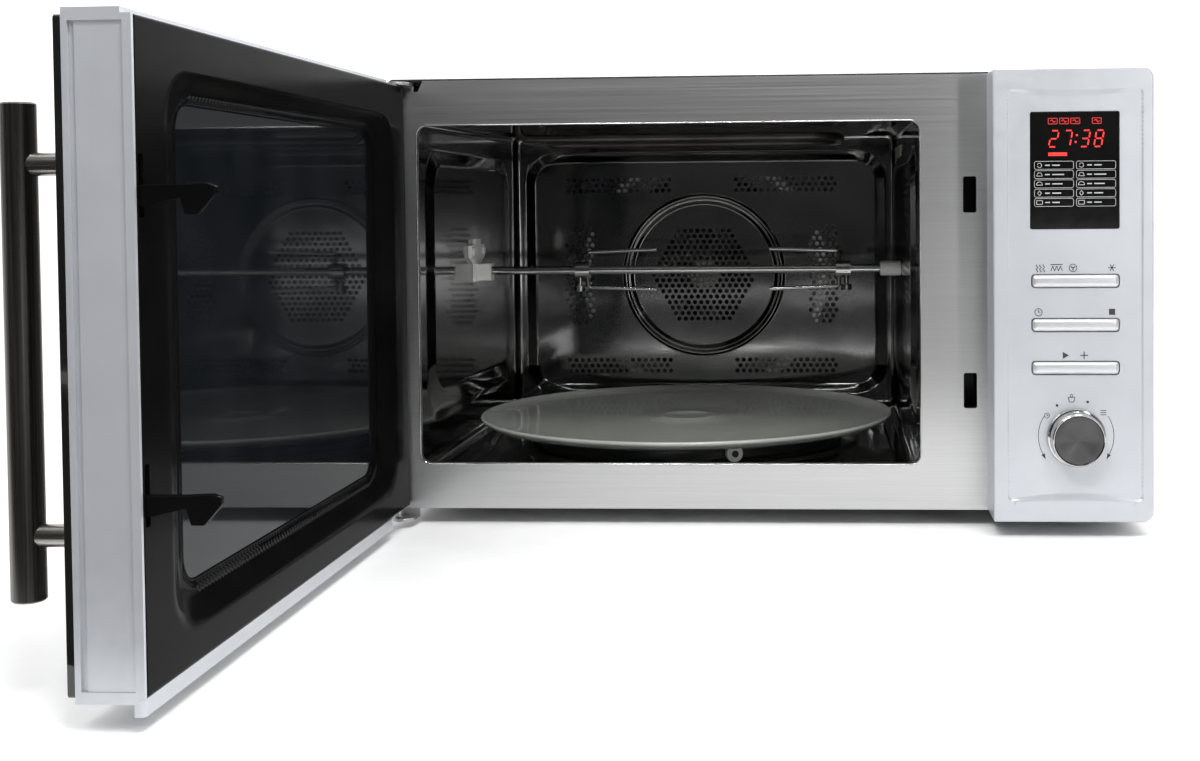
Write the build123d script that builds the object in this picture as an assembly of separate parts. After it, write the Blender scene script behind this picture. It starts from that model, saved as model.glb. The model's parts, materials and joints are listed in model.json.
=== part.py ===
"""Built-in-grill microwave oven with its door standing open at a right angle.

Frame: X to the right, Y to the back, Z up, millimetres. Everything is drawn about the middle of
the casing, with the door shut. At the end the door is turned open, and the whole is moved so that
the origin is the middle of the front left foot's sole.
"""
from math import cos, degrees, hypot, radians, sin
import os

from build123d import *

# ---------------------------------------------------------------- driving dimensions
CASE_W, CASE_D, CASE_TOP = 538.0, 480.0, 323.5
FOOT_H = 12.0
SHEET = 0.8
GAP = 0.15                                   # free space between neighbouring still parts
RUN = 0.05                                   # radial running clearance of pins and shafts
SIDE = CASE_W / 2
FEET = [(x, y) for x in (-225, 225) for y in (-165, 190)]
FOOT_R, STUD_R = 13.0, 2.8
CASE_SCREWS = [(x, z) for x in (-258, 0, 258) for z in (24, 312)]
GLAND_X, GLAND_Z, GLAND_R, CORD_R = 225.0, 60.0, 8.0, 3.7
FRONT, BACK = -CASE_D / 2, CASE_D / 2        # front face of the steel frame, back of the casing

OPEN_X0, OPEN_X1, OPEN_Z0, OPEN_Z1 = -247.4, 113.9, 44.6, 289.5
OPEN_R = 7.0
FRAME_T, FRAME_TOP = 1.0, 322.0
SLOT_X0, SLOT_X1 = 144.6, 154.0
SLOTS_Z = ((84.7, 109.9), (223.8, 249.5))

CAV_X0, CAV_X1, CAV_Z0, CAV_Z1, CAV_Y1 = -255.4, 114.6, 34.6, 298.0, 146.0
EMBOSS = 4.0                                 # how far pressed panels stand into the cavity
FAN_X, FAN_Z = -71.0, 162.0
FAN_RING_R, FAN_GRILLE_R = 76.3, 47.8
GRILL_R, GRILL_LEGS = 3.2, ((-200.0, -110.0), (-200.0, 20.0))
HEATER_R, HEATER_RING, HEATER_GAP = 3.2, 95.0, 12.0
HOLE_R, HOLE_PITCH = 2.2, 6.2

TT_X, TT_Y = -70.9, -49.3                    # turntable axis
PLATE_R, PLATE_Z = 172.5, 47.8
ROLLER_R, ROLLER_LEN, ROLLER_AT = 6.5, 6.0, 134.5
RING_R0, RING_R1 = 124.0, 130.0
ROLLER_GAP = 0.1                             # under each roller, and over it
ROLLER_ANGLES = (-69.4, 50.6, 170.6)

SPIT_Y, SPIT_Z, SPIT_R = TT_Y, 176.0, 3.5
FORKS = ((-158.5, 1), (62.0, -1))            # hub centre and which way the prongs point
FORK_SCREW_BACK = 2.6
SPIT_MOTOR_X = CAV_X1 + 2.0

HINGE_X, HINGE_Y = -262.0, FRONT - 9.0
PIN_R = 2.5
DOOR_GAP = 1.0
DOOR_X0, DOOR_X1 = HINGE_X - 8.0, 156.0
DOOR_Z0, DOOR_Z1 = 15.6, 317.4
DOOR_Y1 = FRONT - DOOR_GAP                   # inner face when shut
DOOR_T = 31.6                                # silver frame, without the glass
RAIL_T = 3.0
GLASS_T = 3.5
DOOR_Y0 = DOOR_Y1 - DOOR_T
RECESS = (-237.0, 126.5, 30.0, 297.0)        # x0, x1, z0, z1 of the dished window surround
WINDOW = (-206.0, 93.0, 50.0, 282.5)
RECESS_DEPTH = 8.0
HOOK_X = 149.3
HOOKS_Z = (91.8, 229.3)                      # underside of each hook's barb
HANDLE_R, HANDLE_Z0, HANDLE_Z1 = 8.0, 48.5, 281.8
HANDLE_X, HANDLE_OUT = DOOR_X1 - 40.0, 38.6  # from the free edge, and axis to glass face
POSTS_Z = (79.3, 253.0)
POST_R = 5.5

PANEL_X0, PANEL_X1, PANEL_Z0, PANEL_Z1 = 161.5, 270.0, 11.2, 322.4
PANEL_Y0, PANEL_WALL = FRONT - 37.0, 2.5
FIELD = (170.6, 263.1, 25.3, 308.1)
FIELD_DEPTH = 1.0
DISPLAY = (186.6, 247.1, 212.2, 292.5)
BAR_X0, BAR_X1, BAR_H = 188.1, 246.4, 8.2
BARS_Z = {"mode_bar": 176.9, "clock_bar": 146.8, "start_bar": 117.4}
BAR_PLAY = 0.8
KNOB_X, KNOB_Z, KNOB_R = 217.5, 69.5, 20.0
CAP_R, KNOB_OUT = 17.4, 13.0

BAY_X0 = CAV_X1 + SHEET + GAP                # machinery bay beside the cavity


# ---------------------------------------------------------------- helpers
def block(x0, x1, y0, y1, z0, z1):
    return Pos((x0 + x1) / 2, (y0 + y1) / 2, (z0 + z1) / 2) * Box(x1 - x0, y1 - y0, z1 - z0)


def rod(start, axis, r, length):
    """A cylinder from a point, along +X, +Y or +Z."""
    turn = {"x": Rot(0, 90, 0), "y": Rot(-90, 0, 0), "z": Rot(0, 0, 0)}[axis]
    return Pos(*start) * turn * Cylinder(r, length, align=(Align.CENTER, Align.CENTER, Align.MIN))


def tube(start, axis, r_out, r_in, length):
    return rod(start, axis, r_out, length) - rod(start, axis, r_in, length)


def slab_xz(outline, y0, y1):
    """A sketch drawn in X and Z, as a solid between two depths."""
    plane = Plane(origin=(0, y1, 0), x_dir=(1, 0, 0), z_dir=(0, -1, 0))
    return extrude(plane * outline, y1 - y0)


def rect_xz(x0, x1, z0, z1, r=0.0):
    width, height = x1 - x0, z1 - z0
    shape = RectangleRounded(width, height, r) if r else Rectangle(width, height)
    return Pos((x0 + x1) / 2, (z0 + z1) / 2) * shape


def hex_rows(x0, x1, z0, z1, pitch=HOLE_PITCH):
    """Centres of a honeycomb of holes that fills a box."""
    points = []
    rows = int((z1 - z0) / (pitch * 0.866)) + 1
    for row in range(rows):
        z = (z0 + z1) / 2 + (row - (rows - 1) / 2) * pitch * 0.866
        shift = pitch / 2 if row % 2 else 0.0
        count = int((x1 - x0 - shift) / pitch) + 1
        points += [(x0 + shift + col * pitch, z) for col in range(count)]
    return points


def pierced(face_outline, holes, y0, y1, r=HOLE_R):
    """A flat sheet in X and Z with many round holes."""
    sheet = slab_xz(face_outline, y0, y1)
    top = sheet.faces().sort_by(Axis.Y)[0]
    wires = [Wire.make_circle(r, Plane(origin=(x, y0, z), z_dir=(0, -1, 0))) for x, z in holes]
    face = Face(top.outer_wire(), list(top.inner_wires()) + wires)
    return Part() + Solid.extrude(face, Vector(0, y1 - y0, 0))


def slots(count, pitch, first, make):
    """Equal slots along a line, as one tool to cut with."""
    tools = [make(first + i * pitch) for i in range(count)]
    return Part() + tools


def screw(x, y, z, axis, flip=1, r=2.0, length=9.0, head_r=3.6, head_h=2.0):
    """A pan-head screw: the head's seat is at the point, and the head is on the flip side."""
    step = {"x": (1, 0, 0), "y": (0, 1, 0), "z": (0, 0, 1)}[axis]

    def at(distance):
        return (x + step[0] * distance, y + step[1] * distance, z + step[2] * distance)
    head = rod(at(0 if flip > 0 else -head_h), axis, head_r, head_h)
    shank = rod(at(-length if flip > 0 else 0), axis, r, length)
    return head + shank


def open_door(shape):
    """Turns a piece drawn on the shut door to where it is with the door open."""
    return Pos(HINGE_X, HINGE_Y, 0) * Rot(0, 0, -90) * Pos(-HINGE_X, -HINGE_Y, 0) * shape


# ---------------------------------------------------------------- cabinet shell
def outer_casing():
    outline = rect_xz(-SIDE, SIDE, FOOT_H + 1, CASE_TOP, 5.0)
    inner = rect_xz(-SIDE + SHEET, SIDE - SHEET, FOOT_H - 9, CASE_TOP - SHEET, 4.2)
    wrap = slab_xz(outline - inner, FRONT + FRAME_T + GAP, BACK)
    for side in (-1, 1):
        edge = side * (SIDE - SHEET / 2)
        wrap += block(edge - SHEET / 2, edge + SHEET / 2, FRONT + FRAME_T + GAP, BACK,
                      FOOT_H + 1, FOOT_H + 8)
    for row in range(3):
        z = 60 + row * 22
        vents = slots(22, 7.0, 40.0, lambda y: block(-SIDE - 1, SIDE + 1, y, y + 3, z, z + 16))
        wrap -= vents
    top_vents = slots(14, 7.0, 40.0, lambda y: block(135, 250, y, y + 3, CASE_TOP - 2, CASE_TOP + 1))
    return wrap - top_vents


def base_plate():
    x1 = SIDE - SHEET - GAP
    tray = block(-x1, x1, FRONT + 4, BACK - 2 * SHEET, FOOT_H, FOOT_H + SHEET)
    for side in (-1, 1):
        edge = side * (x1 - SHEET / 2)
        tray += block(edge - SHEET / 2, edge + SHEET / 2, FRONT + 4, BACK - 2 * SHEET,
                      FOOT_H, FOOT_H + 12)
    for row in range(4):
        x = 140 + row * 26
        tray -= slots(14, 8.0, 30.0, lambda y: block(x, x + 20, y, y + 3.5, FOOT_H - 1, FOOT_H + 2))
    for x, y in FEET:
        tray -= rod((x, y, FOOT_H - 1), "z", STUD_R + GAP, 4)
    return tray


def back_panel():
    x1, z0, z1 = SIDE - SHEET - GAP, FOOT_H + SHEET + GAP, CASE_TOP - SHEET - GAP
    sheet = slab_xz(rect_xz(-x1, x1, z0, z1, 4.6), BACK - SHEET, BACK)
    for row in range(8):
        z = 110 + row * 14
        cuts = slots(10, 10.0, 150.0, lambda x: block(x, x + 6, BACK - 2, BACK + 1, z, z + 8))
        sheet -= cuts
    for row in range(5):
        z = 120 + row * 18
        cuts = slots(12, 9.0, -125.0, lambda x: block(x, x + 5, BACK - 2, BACK + 1, z, z + 12))
        sheet -= cuts
    sheet -= rod((GLAND_X, BACK - 2, GLAND_Z), "y", GLAND_R + GAP, 4)
    for x, z in CASE_SCREWS:
        sheet -= rod((x, BACK - 2, z), "y", 2.1, 4)
    return sheet


def casing_screws():
    return Compound(children=[screw(x, BACK, z, "y", 1, length=8) for x, z in CASE_SCREWS])


def rubber_feet():
    feet = []
    for x, y in FEET:
        pad = rod((x, y, 0), "z", FOOT_R, FOOT_H - RUN)
        pad = chamfer(pad.faces().sort_by(Axis.Z)[0].edges(), 1.5)
        feet.append(pad + rod((x, y, FOOT_H - 1), "z", STUD_R, 5.0))
    return Compound(children=feet)


def cord_gland():
    flange = rod((GLAND_X, BACK, GLAND_Z), "y", GLAND_R + 3, 2.5)
    neck = rod((GLAND_X, BACK - 6, GLAND_Z), "y", GLAND_R, 6)
    return flange + neck - rod((GLAND_X, BACK - 7, GLAND_Z), "y", CORD_R, 12)


# ---------------------------------------------------------------- front frame and cavity
def front_frame():
    outline = rect_xz(-SIDE, SIDE, FOOT_H, FRAME_TOP)
    outline -= rect_xz(OPEN_X0, OPEN_X1, OPEN_Z0, OPEN_Z1, OPEN_R)
    for z0, z1 in SLOTS_Z:
        outline -= rect_xz(SLOT_X0, SLOT_X1, z0, z1, 1.5)
    outline -= rect_xz(172, 262, 28, 306, 6)             # access behind the control panel
    notch = Polyline((-SIDE - 1, FRAME_TOP + 1), (-242, FRAME_TOP + 1), (-246, 314),
                     (-SIDE - 1, 314), close=True)
    outline -= make_face(notch)
    plate = slab_xz(outline, FRONT, FRONT + FRAME_T)
    skirt_y1 = FRONT + 11
    plate += block(-240, SIDE - 6, FRONT + FRAME_T, skirt_y1, FRAME_TOP - FRAME_T, FRAME_TOP)
    plate += block(-240, SIDE - 6, FRONT + FRAME_T, FRONT + 3.8, FOOT_H, FOOT_H + FRAME_T)
    lip = rect_xz(OPEN_X0 - 1, OPEN_X1 + 1, OPEN_Z0 - 1, OPEN_Z1 + 1, OPEN_R + 1)
    lip -= rect_xz(OPEN_X0, OPEN_X1, OPEN_Z0, OPEN_Z1, OPEN_R)
    return plate + slab_xz(lip, FRONT + FRAME_T, FRONT + 5)


def pressed_panel(axis, level, direction, low, high, r=18.0):
    """A raised panel pressed in a wall: its outer block and the hollow behind it."""
    (a0, b0), (a1, b1) = low, high
    far = level + direction * EMBOSS
    back = level - direction * SHEET
    lo, hi = sorted((level, far))
    inner_lo, inner_hi = sorted((back, far - direction * SHEET))
    t = SHEET
    if axis == "x":
        outer = block(lo, hi, a0, a1, b0, b1)
        hollow = block(inner_lo, inner_hi, a0 + t, a1 - t, b0 + t, b1 - t)
        corner = Axis.X
    else:
        outer = block(a0, a1, b0, b1, lo, hi)
        hollow = block(a0 + t, a1 - t, b0 + t, b1 - t, inner_lo, inner_hi)
        corner = Axis.Z
    outer = fillet(outer.edges().filter_by(corner), r)
    hollow = fillet(hollow.edges().filter_by(corner), r - t)
    return outer, hollow


def cavity_shell():
    y0, y1 = FRONT + 5 + GAP, CAV_Y1 + SHEET
    outer = block(CAV_X0 - SHEET, CAV_X1 + SHEET, y0, y1, CAV_Z0 - SHEET, CAV_Z1 + SHEET)
    inner = block(CAV_X0, CAV_X1, y0 + SHEET, y1 + 1, CAV_Z0, CAV_Z1)
    shell = outer - inner
    mouth = slab_xz(rect_xz(OPEN_X0, OPEN_X1, OPEN_Z0, OPEN_Z1, OPEN_R), y0 - 1, y0 + SHEET + 1)
    shell -= mouth
    presses = [pressed_panel("x", CAV_X0, 1, (-176, 67), (SPIT_Y + 170, 262)),
               pressed_panel("x", CAV_X1, -1, (-150, 67), (SPIT_Y + 170, 118)),
               pressed_panel("z", CAV_Z1, -1, (-236, -150), (95, 110))]
    for outer_press, hollow in presses:
        shell += outer_press
        shell -= hollow
    shell -= rod((TT_X, TT_Y, CAV_Z0 - 2), "z", 8.0, 4)                  # turntable shaft
    shell -= rod((CAV_X1 - 6, SPIT_Y, SPIT_Z), "x", 6.5, 12)             # spit drive
    for x, y in GRILL_LEGS:
        shell -= rod((x, y, CAV_Z1 - 8), "z", GRILL_R + 0.3, 12)
    vents = []
    for y, z in hex_rows(-215, -80, 215, 262, 7.0):
        vents.append(rod((CAV_X1 - 1, y, z), "x", HOLE_R, 3))
    return shell - (Part() + vents)


def cavity_back():
    """Pressed back wall: a raised centre with a fan dish and groups of round holes."""
    x0, x1, z0, z1 = -234.7, 92.9, 57.3, 270.3
    front_y = CAV_Y1 - EMBOSS
    holes = [(x, z) for x, z in hex_rows(FAN_X - 49, FAN_X + 49, FAN_Z - 49, FAN_Z + 49)
             if hypot(x - FAN_X, z - FAN_Z) < FAN_GRILLE_R]
    for left, right in ((-203, -103), (-39, 57)):
        for low, high in ((242, 257), (66, 81)):
            holes += hex_rows(left + 2, right - 2, low + 2, high - 2)
    for left, right in ((-206, -179), (32, 59)):
        holes += [(x, z) for x, z in hex_rows(left + 2, right - 2, 117, 207)
                  if abs(z - FAN_Z) + abs(x - (left + right) / 2) < 49]
    centre = pierced(rect_xz(x0, x1, z0, z1, 20), holes, front_y, front_y + SHEET)
    rim = rect_xz(CAV_X0 + GAP, CAV_X1 - GAP, CAV_Z0 + GAP, CAV_Z1 - GAP, 4)
    rim -= rect_xz(x0 - 0.01, x1 + 0.01, z0 - 0.01, z1 + 0.01, 20)
    wall = rect_xz(x0, x1, z0, z1, 20) - rect_xz(x0 + 1, x1 - 1, z0 + 1, z1 - 1, 19)
    wall_solid = slab_xz(wall, front_y, CAV_Y1)
    rim = rect_xz(CAV_X0 + GAP, CAV_X1 - GAP, CAV_Z0 + GAP, CAV_Z1 - GAP, 4)
    rim -= rect_xz(x0 + 1, x1 - 1, z0 + 1, z1 - 1, 19)
    bead = tube((FAN_X, front_y - 2, FAN_Z), "y", FAN_RING_R + 1.5, FAN_RING_R - 1.5, 2.2)
    return centre + wall_solid + slab_xz(rim, CAV_Y1 - SHEET, CAV_Y1) + bead


def grill_heater():
    """A sheathed element bent into a long hairpin under the ceiling."""
    z, top, x1 = CAV_Z1 - EMBOSS - 9.0, CAV_Z1 + 14.0, 60.0
    (x0, y0), (_, y1) = GRILL_LEGS
    path = FilletPolyline((x0, y0, top), (x0, y0, z), (x1, y0, z), (x1, y1, z), (x0, y1, z),
                          (x0, y1, top), radius=[8, 30, 30, 8])
    return sweep(Plane(origin=(x0, y0, top), z_dir=(0, 0, -1)) * Circle(GRILL_R), path=path)


# ---------------------------------------------------------------- hot-air unit
def convection_housing():
    y0, y1, r = CAV_Y1 + GAP, CAV_Y1 + 40.0, 112.0
    pan = rod((FAN_X, y0, FAN_Z), "y", r, y1 - y0)
    pan -= rod((FAN_X, y0 - 1, FAN_Z), "y", r - SHEET, y1 - y0 + 1 - SHEET)
    pan += tube((FAN_X, y0, FAN_Z), "y", r + 8, r - SHEET, SHEET)
    pan -= rod((FAN_X, y1 - 2, FAN_Z), "y", 5.0, 4)
    for x, z in heater_ends():
        pan -= rod((x, y1 - 2, z), "y", HEATER_R + 0.3, 4)
    return pan


def heater_ends():
    """X and Z of the two ends of the ring heater, either side of its lowest point."""
    angle = HEATER_GAP / HEATER_RING
    drop = HEATER_RING * cos(angle)
    return [(FAN_X + side * HEATER_RING * sin(angle), FAN_Z - drop) for side in (-1, 1)]


def convection_heater():
    y, r = CAV_Y1 + 18.0, HEATER_R
    half_gap = degrees(HEATER_GAP / HEATER_RING)
    arc = CenterArc((0, 0), HEATER_RING, half_gap - 90, 360 - 2 * half_gap)
    plane = Plane(origin=(FAN_X, y, FAN_Z), x_dir=(1, 0, 0), z_dir=(0, -1, 0))
    path = plane * arc
    section = Plane(origin=path @ 0, z_dir=path % 0) * Circle(r)
    element = sweep(section, path=path)
    for x, z in heater_ends():
        element += Pos(x, y, z) * Sphere(r)
        element += rod((x, y, z), "y", r, 40)
    return element


def fan_blades(centre, hub_r, tip_r, depth, count, twist, bore_r):
    """An axial fan whose axis is along Y, from its front face."""
    x, y, z = centre
    fan = rod((x, y, z), "y", hub_r, depth)
    for i in range(count):
        blade = block(hub_r - 2, tip_r, -0.6, 0.6, -tip_r * 0.28, tip_r * 0.28)
        blade = Rot(twist, 0, 0) * blade
        fan += Pos(x, y + depth / 2, z) * Rot(0, i * 360 / count, 0) * blade
    return fan - rod((x, y - 1, z), "y", bore_r, depth + 2)


def convection_fan():
    y0 = CAV_Y1 + 8.0
    fan = fan_blades((FAN_X, y0, FAN_Z), 14, 62, 14, 7, 35, 2.0)
    return fan + rod((FAN_X, y0 + 2, FAN_Z), "y", 3.0, 50)


def motor(centre, r, length, bore_r, lugs=True):
    """A round motor whose axis is along Y, with a clearance bore for its shaft."""
    x, y, z = centre
    body = rod((x, y, z), "y", r, length)
    if lugs:
        body += block(x - r - 9, x + r + 9, y, y + 2, z - 7, z + 7)
    return body - rod((x, y - 1, z), "y", bore_r, length * 0.6)


# ---------------------------------------------------------------- machinery bay
def waveguide():
    x0, y0, y1, z0, z1 = BAY_X0, 12.0, 118.0, 196.0, 290.0
    duct = block(x0, x0 + 40, y0, y1, z0, z1)
    duct -= block(x0 - 1, x0 + 40 - 1, y0 + 1, y1 - 1, z0 + 1, z1 - 1)
    return duct - rod((x0 + 30, 65, 243), "x", 13.0, 12)


def waveguide_cover():
    return block(CAV_X1 - 1.0, CAV_X1 - GAP, 20, 110, 204, 282)


def magnetron():
    x0 = BAY_X0 + 40 + GAP
    yoke = block(x0, x0 + 62, 25, 105, 200, 286) - block(x0 + 4, x0 + 58, 20, 110, 206, 280)
    anode = rod((x0 + 2, 65, 243), "x", 20, 58)
    antenna = rod((x0 - 22, 65, 243), "x", 10, 24)
    core = yoke + anode + antenna
    for i in range(8):
        x = x0 + 9 + i * 6
        core += block(x, x + 1, 25, 105, 204, 282)
    return core + block(x0 + 62, x0 + 84, 48, 82, 226, 260)


def hv_transformer():
    core = block(150, 240, -150, -70, FOOT_H + SHEET + GAP, 92)
    window = block(168, 184, -151, -69, 30, 76) + block(206, 222, -151, -69, 30, 76)
    coils = block(166, 224, -166, -54, 34, 72) - block(186, 204, -152, -68, 20, 90)
    return core - window + coils


def hv_capacitor():
    can = block(150, 240, -30, 26, FOOT_H + SHEET + GAP, 48)
    can = fillet(can.edges().filter_by(Axis.X), 12)
    return can + block(240, 246, -12, -8, 30, 36) + block(240, 246, 4, 8, 30, 36)


def cooling_fan_shroud():
    x0, x1, y0, y1, z0, z1 = 145, 255, 196, 234, 100, 210
    frame = block(x0, x1, y0, y1, z0, z1)
    frame -= rod((200, y0 - 1, 155), "y", 50, y1 - y0 + 2)
    bars = block(x0, x1, y1 - 3, y1, 151, 159)
    return frame + bars


def cooling_fan_motor():
    return motor((200, 213, 155), 17, 17.9, 2.0 + RUN, lugs=False)


def cooling_fan():
    fan = fan_blades((200, 200, 155), 13, 46, 11, 7, 30, 1.0)
    return fan + rod((200, 201, 155), "y", 2.0, 20)


def lamp_housing():
    x0 = BAY_X0
    can = block(x0, x0 + 34, -190, -110, 210, 270)
    return can - block(x0 - 1, x0 + 32, -188, -112, 212, 268) - rod((x0 + 30, -150, 240), "x", 9.2, 8)


def cavity_lamp():
    x0 = BAY_X0
    return rod((x0 + 8, -150, 240), "x", 7, 22) + rod((x0 + 28, -150, 240), "x", 9, 18)


def turntable_motor():
    z0 = FOOT_H + SHEET + GAP
    body = rod((TT_X, TT_Y, z0), "z", 25, CAV_Z0 - SHEET - GAP - z0)
    ears = block(TT_X - 34, TT_X + 34, TT_Y - 6, TT_Y + 6, z0 + 18, z0 + 19.5)
    return body + ears - rod((TT_X, TT_Y, z0 + 8), "z", 3.0 + RUN, 20)


def spit_motor():
    x0 = BAY_X0
    body = rod((x0, SPIT_Y, SPIT_Z), "x", 26, 24)
    ears = block(x0, x0 + 2, SPIT_Y - 6, SPIT_Y + 6, SPIT_Z - 36, SPIT_Z + 36)
    return body + ears - rod((x0 - 1, SPIT_Y, SPIT_Z), "x", 4.0 + RUN, 12)


def interlock_bracket():
    x0, x1, y0, y1 = 141.0, 158.0, FRONT + FRAME_T + GAP, FRONT + 44
    body = block(x0, x1, y0, y1, 74, 262)
    for z0, z1 in SLOTS_Z:
        body -= block(x0 + 2.2, x1 - 2.2, y0 - 1, y1 - 2, z0 - 2, z1 + 3)
    return body - block(x0 + 3, x1 - 3, y0 - 1, y1 - 2, 120, 214)


def interlock_switches():
    switches = []
    for z in (92, 118, 232):
        body = block(158 + GAP, 168, FRONT + 14, FRONT + 42, z, z + 16)
        switches.append(body + block(160, 166, FRONT + 42, FRONT + 50, z + 6, z + 10))
    return Compound(children=switches)


# ---------------------------------------------------------------- hinges
def hinge_bracket(plate_z, pin_dir):
    """A leaf behind the frame, a tongue in front of it and the pin that the door turns on."""
    tongue_t = 2.2
    z0, z1 = (plate_z, plate_z + tongue_t)
    x0, x1 = HINGE_X - 4.5, HINGE_X + 12.5
    leaf_y0, leaf_y1 = FRONT + FRAME_T + GAP, FRONT + 3.2
    tongue = block(x0, x1, HINGE_Y, leaf_y1, z0, z1)
    tongue += rod(((x0 + x1) / 2, HINGE_Y, z0), "z", (x1 - x0) / 2, tongue_t)
    if pin_dir > 0:
        leaf = block(x0, x1, leaf_y0, leaf_y1, z0, z1 + 34)
        pin = rod((HINGE_X, HINGE_Y, z1), "z", PIN_R, 22)
    else:
        leaf = block(x0, x1, leaf_y0, leaf_y1, z0 - 26, z1)
        pin = rod((HINGE_X, HINGE_Y, z0 - 14), "z", PIN_R, 14)
    return tongue + leaf + pin


# ---------------------------------------------------------------- door, drawn shut
def door_frame():
    """Silver moulding: a ribbed stile at the free edge, top and bottom rails and a back stile."""
    x1, y0 = DOOR_X1, DOOR_Y0
    edge = [(x1 - 4.3, y0), (x1, y0), (x1, y0 + 2.8), (x1 - 1.8, y0 + 2.8), (x1 - 1.8, y0 + 5.6),
            (x1 - 0.7, y0 + 5.6), (x1 - 0.7, y0 + 27.4), (x1, y0 + 27.4), (x1, DOOR_Y1),
            (x1 - 2, DOOR_Y1), (x1 - 2, DOOR_Y1 - 2.8), (x1 - 4.3, DOOR_Y1 - 2.8)]
    stile = Pos(0, 0, DOOR_Z0) * extrude(make_face(Polyline(*edge, close=True)), DOOR_Z1 - DOOR_Z0)
    cap_x0, rail_x0, rail_y1 = -238.0, -250.0, DOOR_Y1 - 2.8
    top = block(rail_x0, x1, y0, rail_y1, DOOR_Z1 - RAIL_T, DOOR_Z1)
    top += block(cap_x0, x1, y0, DOOR_Y1 - 5, DOOR_Z1, DOOR_Z1 + 2.8)
    bottom = block(rail_x0, x1, y0, rail_y1, DOOR_Z0, DOOR_Z0 + RAIL_T)
    bottom += block(cap_x0, x1, y0, rail_y1, DOOR_Z0 - 2.4, DOOR_Z0)
    lip = block(-221, x1, DOOR_Y1 - 6, DOOR_Y1, DOOR_Z0 - 8, DOOR_Z0 - GAP)
    lip = fillet(lip.edges().filter_by(Axis.Z), 2.5)
    back = block(rail_x0, rail_x0 + 4, y0, rail_y1, DOOR_Z0, DOOR_Z1)
    return stile + top + bottom + lip + back


def door_inner_panel():
    """Gloss black inner cover with a dished window surround and the rounded hinge edge."""
    y1 = DOOR_Y1
    outline = rect_xz(HINGE_X, DOOR_X1 - 2 - GAP, DOOR_Z0, DOOR_Z1)
    plate = slab_xz(outline, y1 - 2.4, y1)
    x0, x1, z0, z1 = RECESS
    a0, a1, b0, b1 = WINDOW

    def dish(grow, y_a, y_b):
        wide = Plane(origin=(0, y_a, 0), x_dir=(1, 0, 0), z_dir=(0, -1, 0)) * rect_xz(
            x0 - grow, x1 + grow, z0 - grow, z1 + grow, 26 + grow)
        narrow = Plane(origin=(0, y_b, 0), x_dir=(1, 0, 0), z_dir=(0, -1, 0)) * rect_xz(
            a0 - grow, a1 + grow, b0 - grow, b1 + grow, 14 + grow)
        return loft([wide.faces()[0], narrow.faces()[0]])
    plate += dish(2.0, y1 - 2.0, y1 - RECESS_DEPTH - 2.0)
    plate -= dish(0.0, y1 + 0.001, y1 - RECESS_DEPTH)
    plate -= slab_xz(rect_xz(a0, a1, b0, b1, 14), y1 - RECESS_DEPTH - 3, y1 - RECESS_DEPTH + 1)
    bar = rod((HINGE_X, HINGE_Y, DOOR_Z0), "z", 8.0, DOOR_Z1 - DOOR_Z0)
    bar += block(DOOR_X0, HINGE_X + 6, DOOR_Y0 + 6, HINGE_Y, DOOR_Z0, DOOR_Z1)
    plate += bar
    plate -= rod((HINGE_X, HINGE_Y, DOOR_Z0 - 1), "z", PIN_R + RUN, 18)
    plate -= rod((HINGE_X, HINGE_Y, DOOR_Z1 - 16), "z", PIN_R + RUN, 18)
    for z in HOOKS_Z:
        plate -= block(HOOK_X - 2.6, HOOK_X + 2.6, y1 - 4, y1 + 1, z - 1.0, z + 27)
    return plate


def door_screen():
    """Steel door plate with the pierced screen and the folded choke edge."""
    y0 = DOOR_Y0 + 5.0
    x0, x1 = -246.0 + GAP, 136.0
    z0, z1 = DOOR_Z0 + RAIL_T + GAP, DOOR_Z1 - RAIL_T - GAP
    a0, a1, b0, b1 = WINDOW
    holes = hex_rows(a0 + 8, a1 - 8, b0 + 8, b1 - 8, 9.0)
    sheet = pierced(rect_xz(x0, x1, z0, z1, 4), holes, y0, y0 + SHEET, 3.4)
    ring = rect_xz(x0, x1, z0, z1, 4) - rect_xz(x0 + 1, x1 - 1, z0 + 1, z1 - 1, 3)
    plate = sheet + slab_xz(ring, y0, DOOR_Y1 - 3.2)
    for z in POSTS_Z:
        plate -= rod((HANDLE_X, y0 - 1, z), "y", 2.6, 4)
    return plate


def door_window_glass():
    a0, a1, b0, b1 = WINDOW
    y1 = DOOR_Y1 - RECESS_DEPTH - 2.0 - GAP
    return slab_xz(rect_xz(a0 - 6, a1 + 6, b0 - 6, b1 + 6, 6), y1 - 3.0, y1)


def door_glass():
    sheet = slab_xz(rect_xz(DOOR_X0, DOOR_X1, DOOR_Z0, DOOR_Z1, 2), DOOR_Y0 - GLASS_T, DOOR_Y0)
    for z in POSTS_Z:
        sheet -= rod((HANDLE_X, DOOR_Y0 - GLASS_T - 1, z), "y", 2.6, GLASS_T + 2)
    return sheet


def handle_bar():
    y = DOOR_Y0 - GLASS_T - HANDLE_OUT
    bar = rod((HANDLE_X, y, HANDLE_Z0), "z", HANDLE_R, HANDLE_Z1 - HANDLE_Z0)
    bar = chamfer(bar.faces().sort_by(Axis.Z)[0].edges(), 0.8)
    bar = chamfer(bar.faces().sort_by(Axis.Z)[-1].edges(), 0.8)
    for z in POSTS_Z:
        bar -= rod((HANDLE_X, y + 3, z), "y", POST_R, HANDLE_R)
    return bar


def handle_posts():
    y = DOOR_Y0 - GLASS_T - HANDLE_OUT
    return Compound(children=[
        rod((HANDLE_X, y + 3, z), "y", POST_R, HANDLE_OUT - 3)
        - rod((HANDLE_X, y + HANDLE_OUT - 12, z), "y", 2.1, 14) for z in POSTS_Z])


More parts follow.
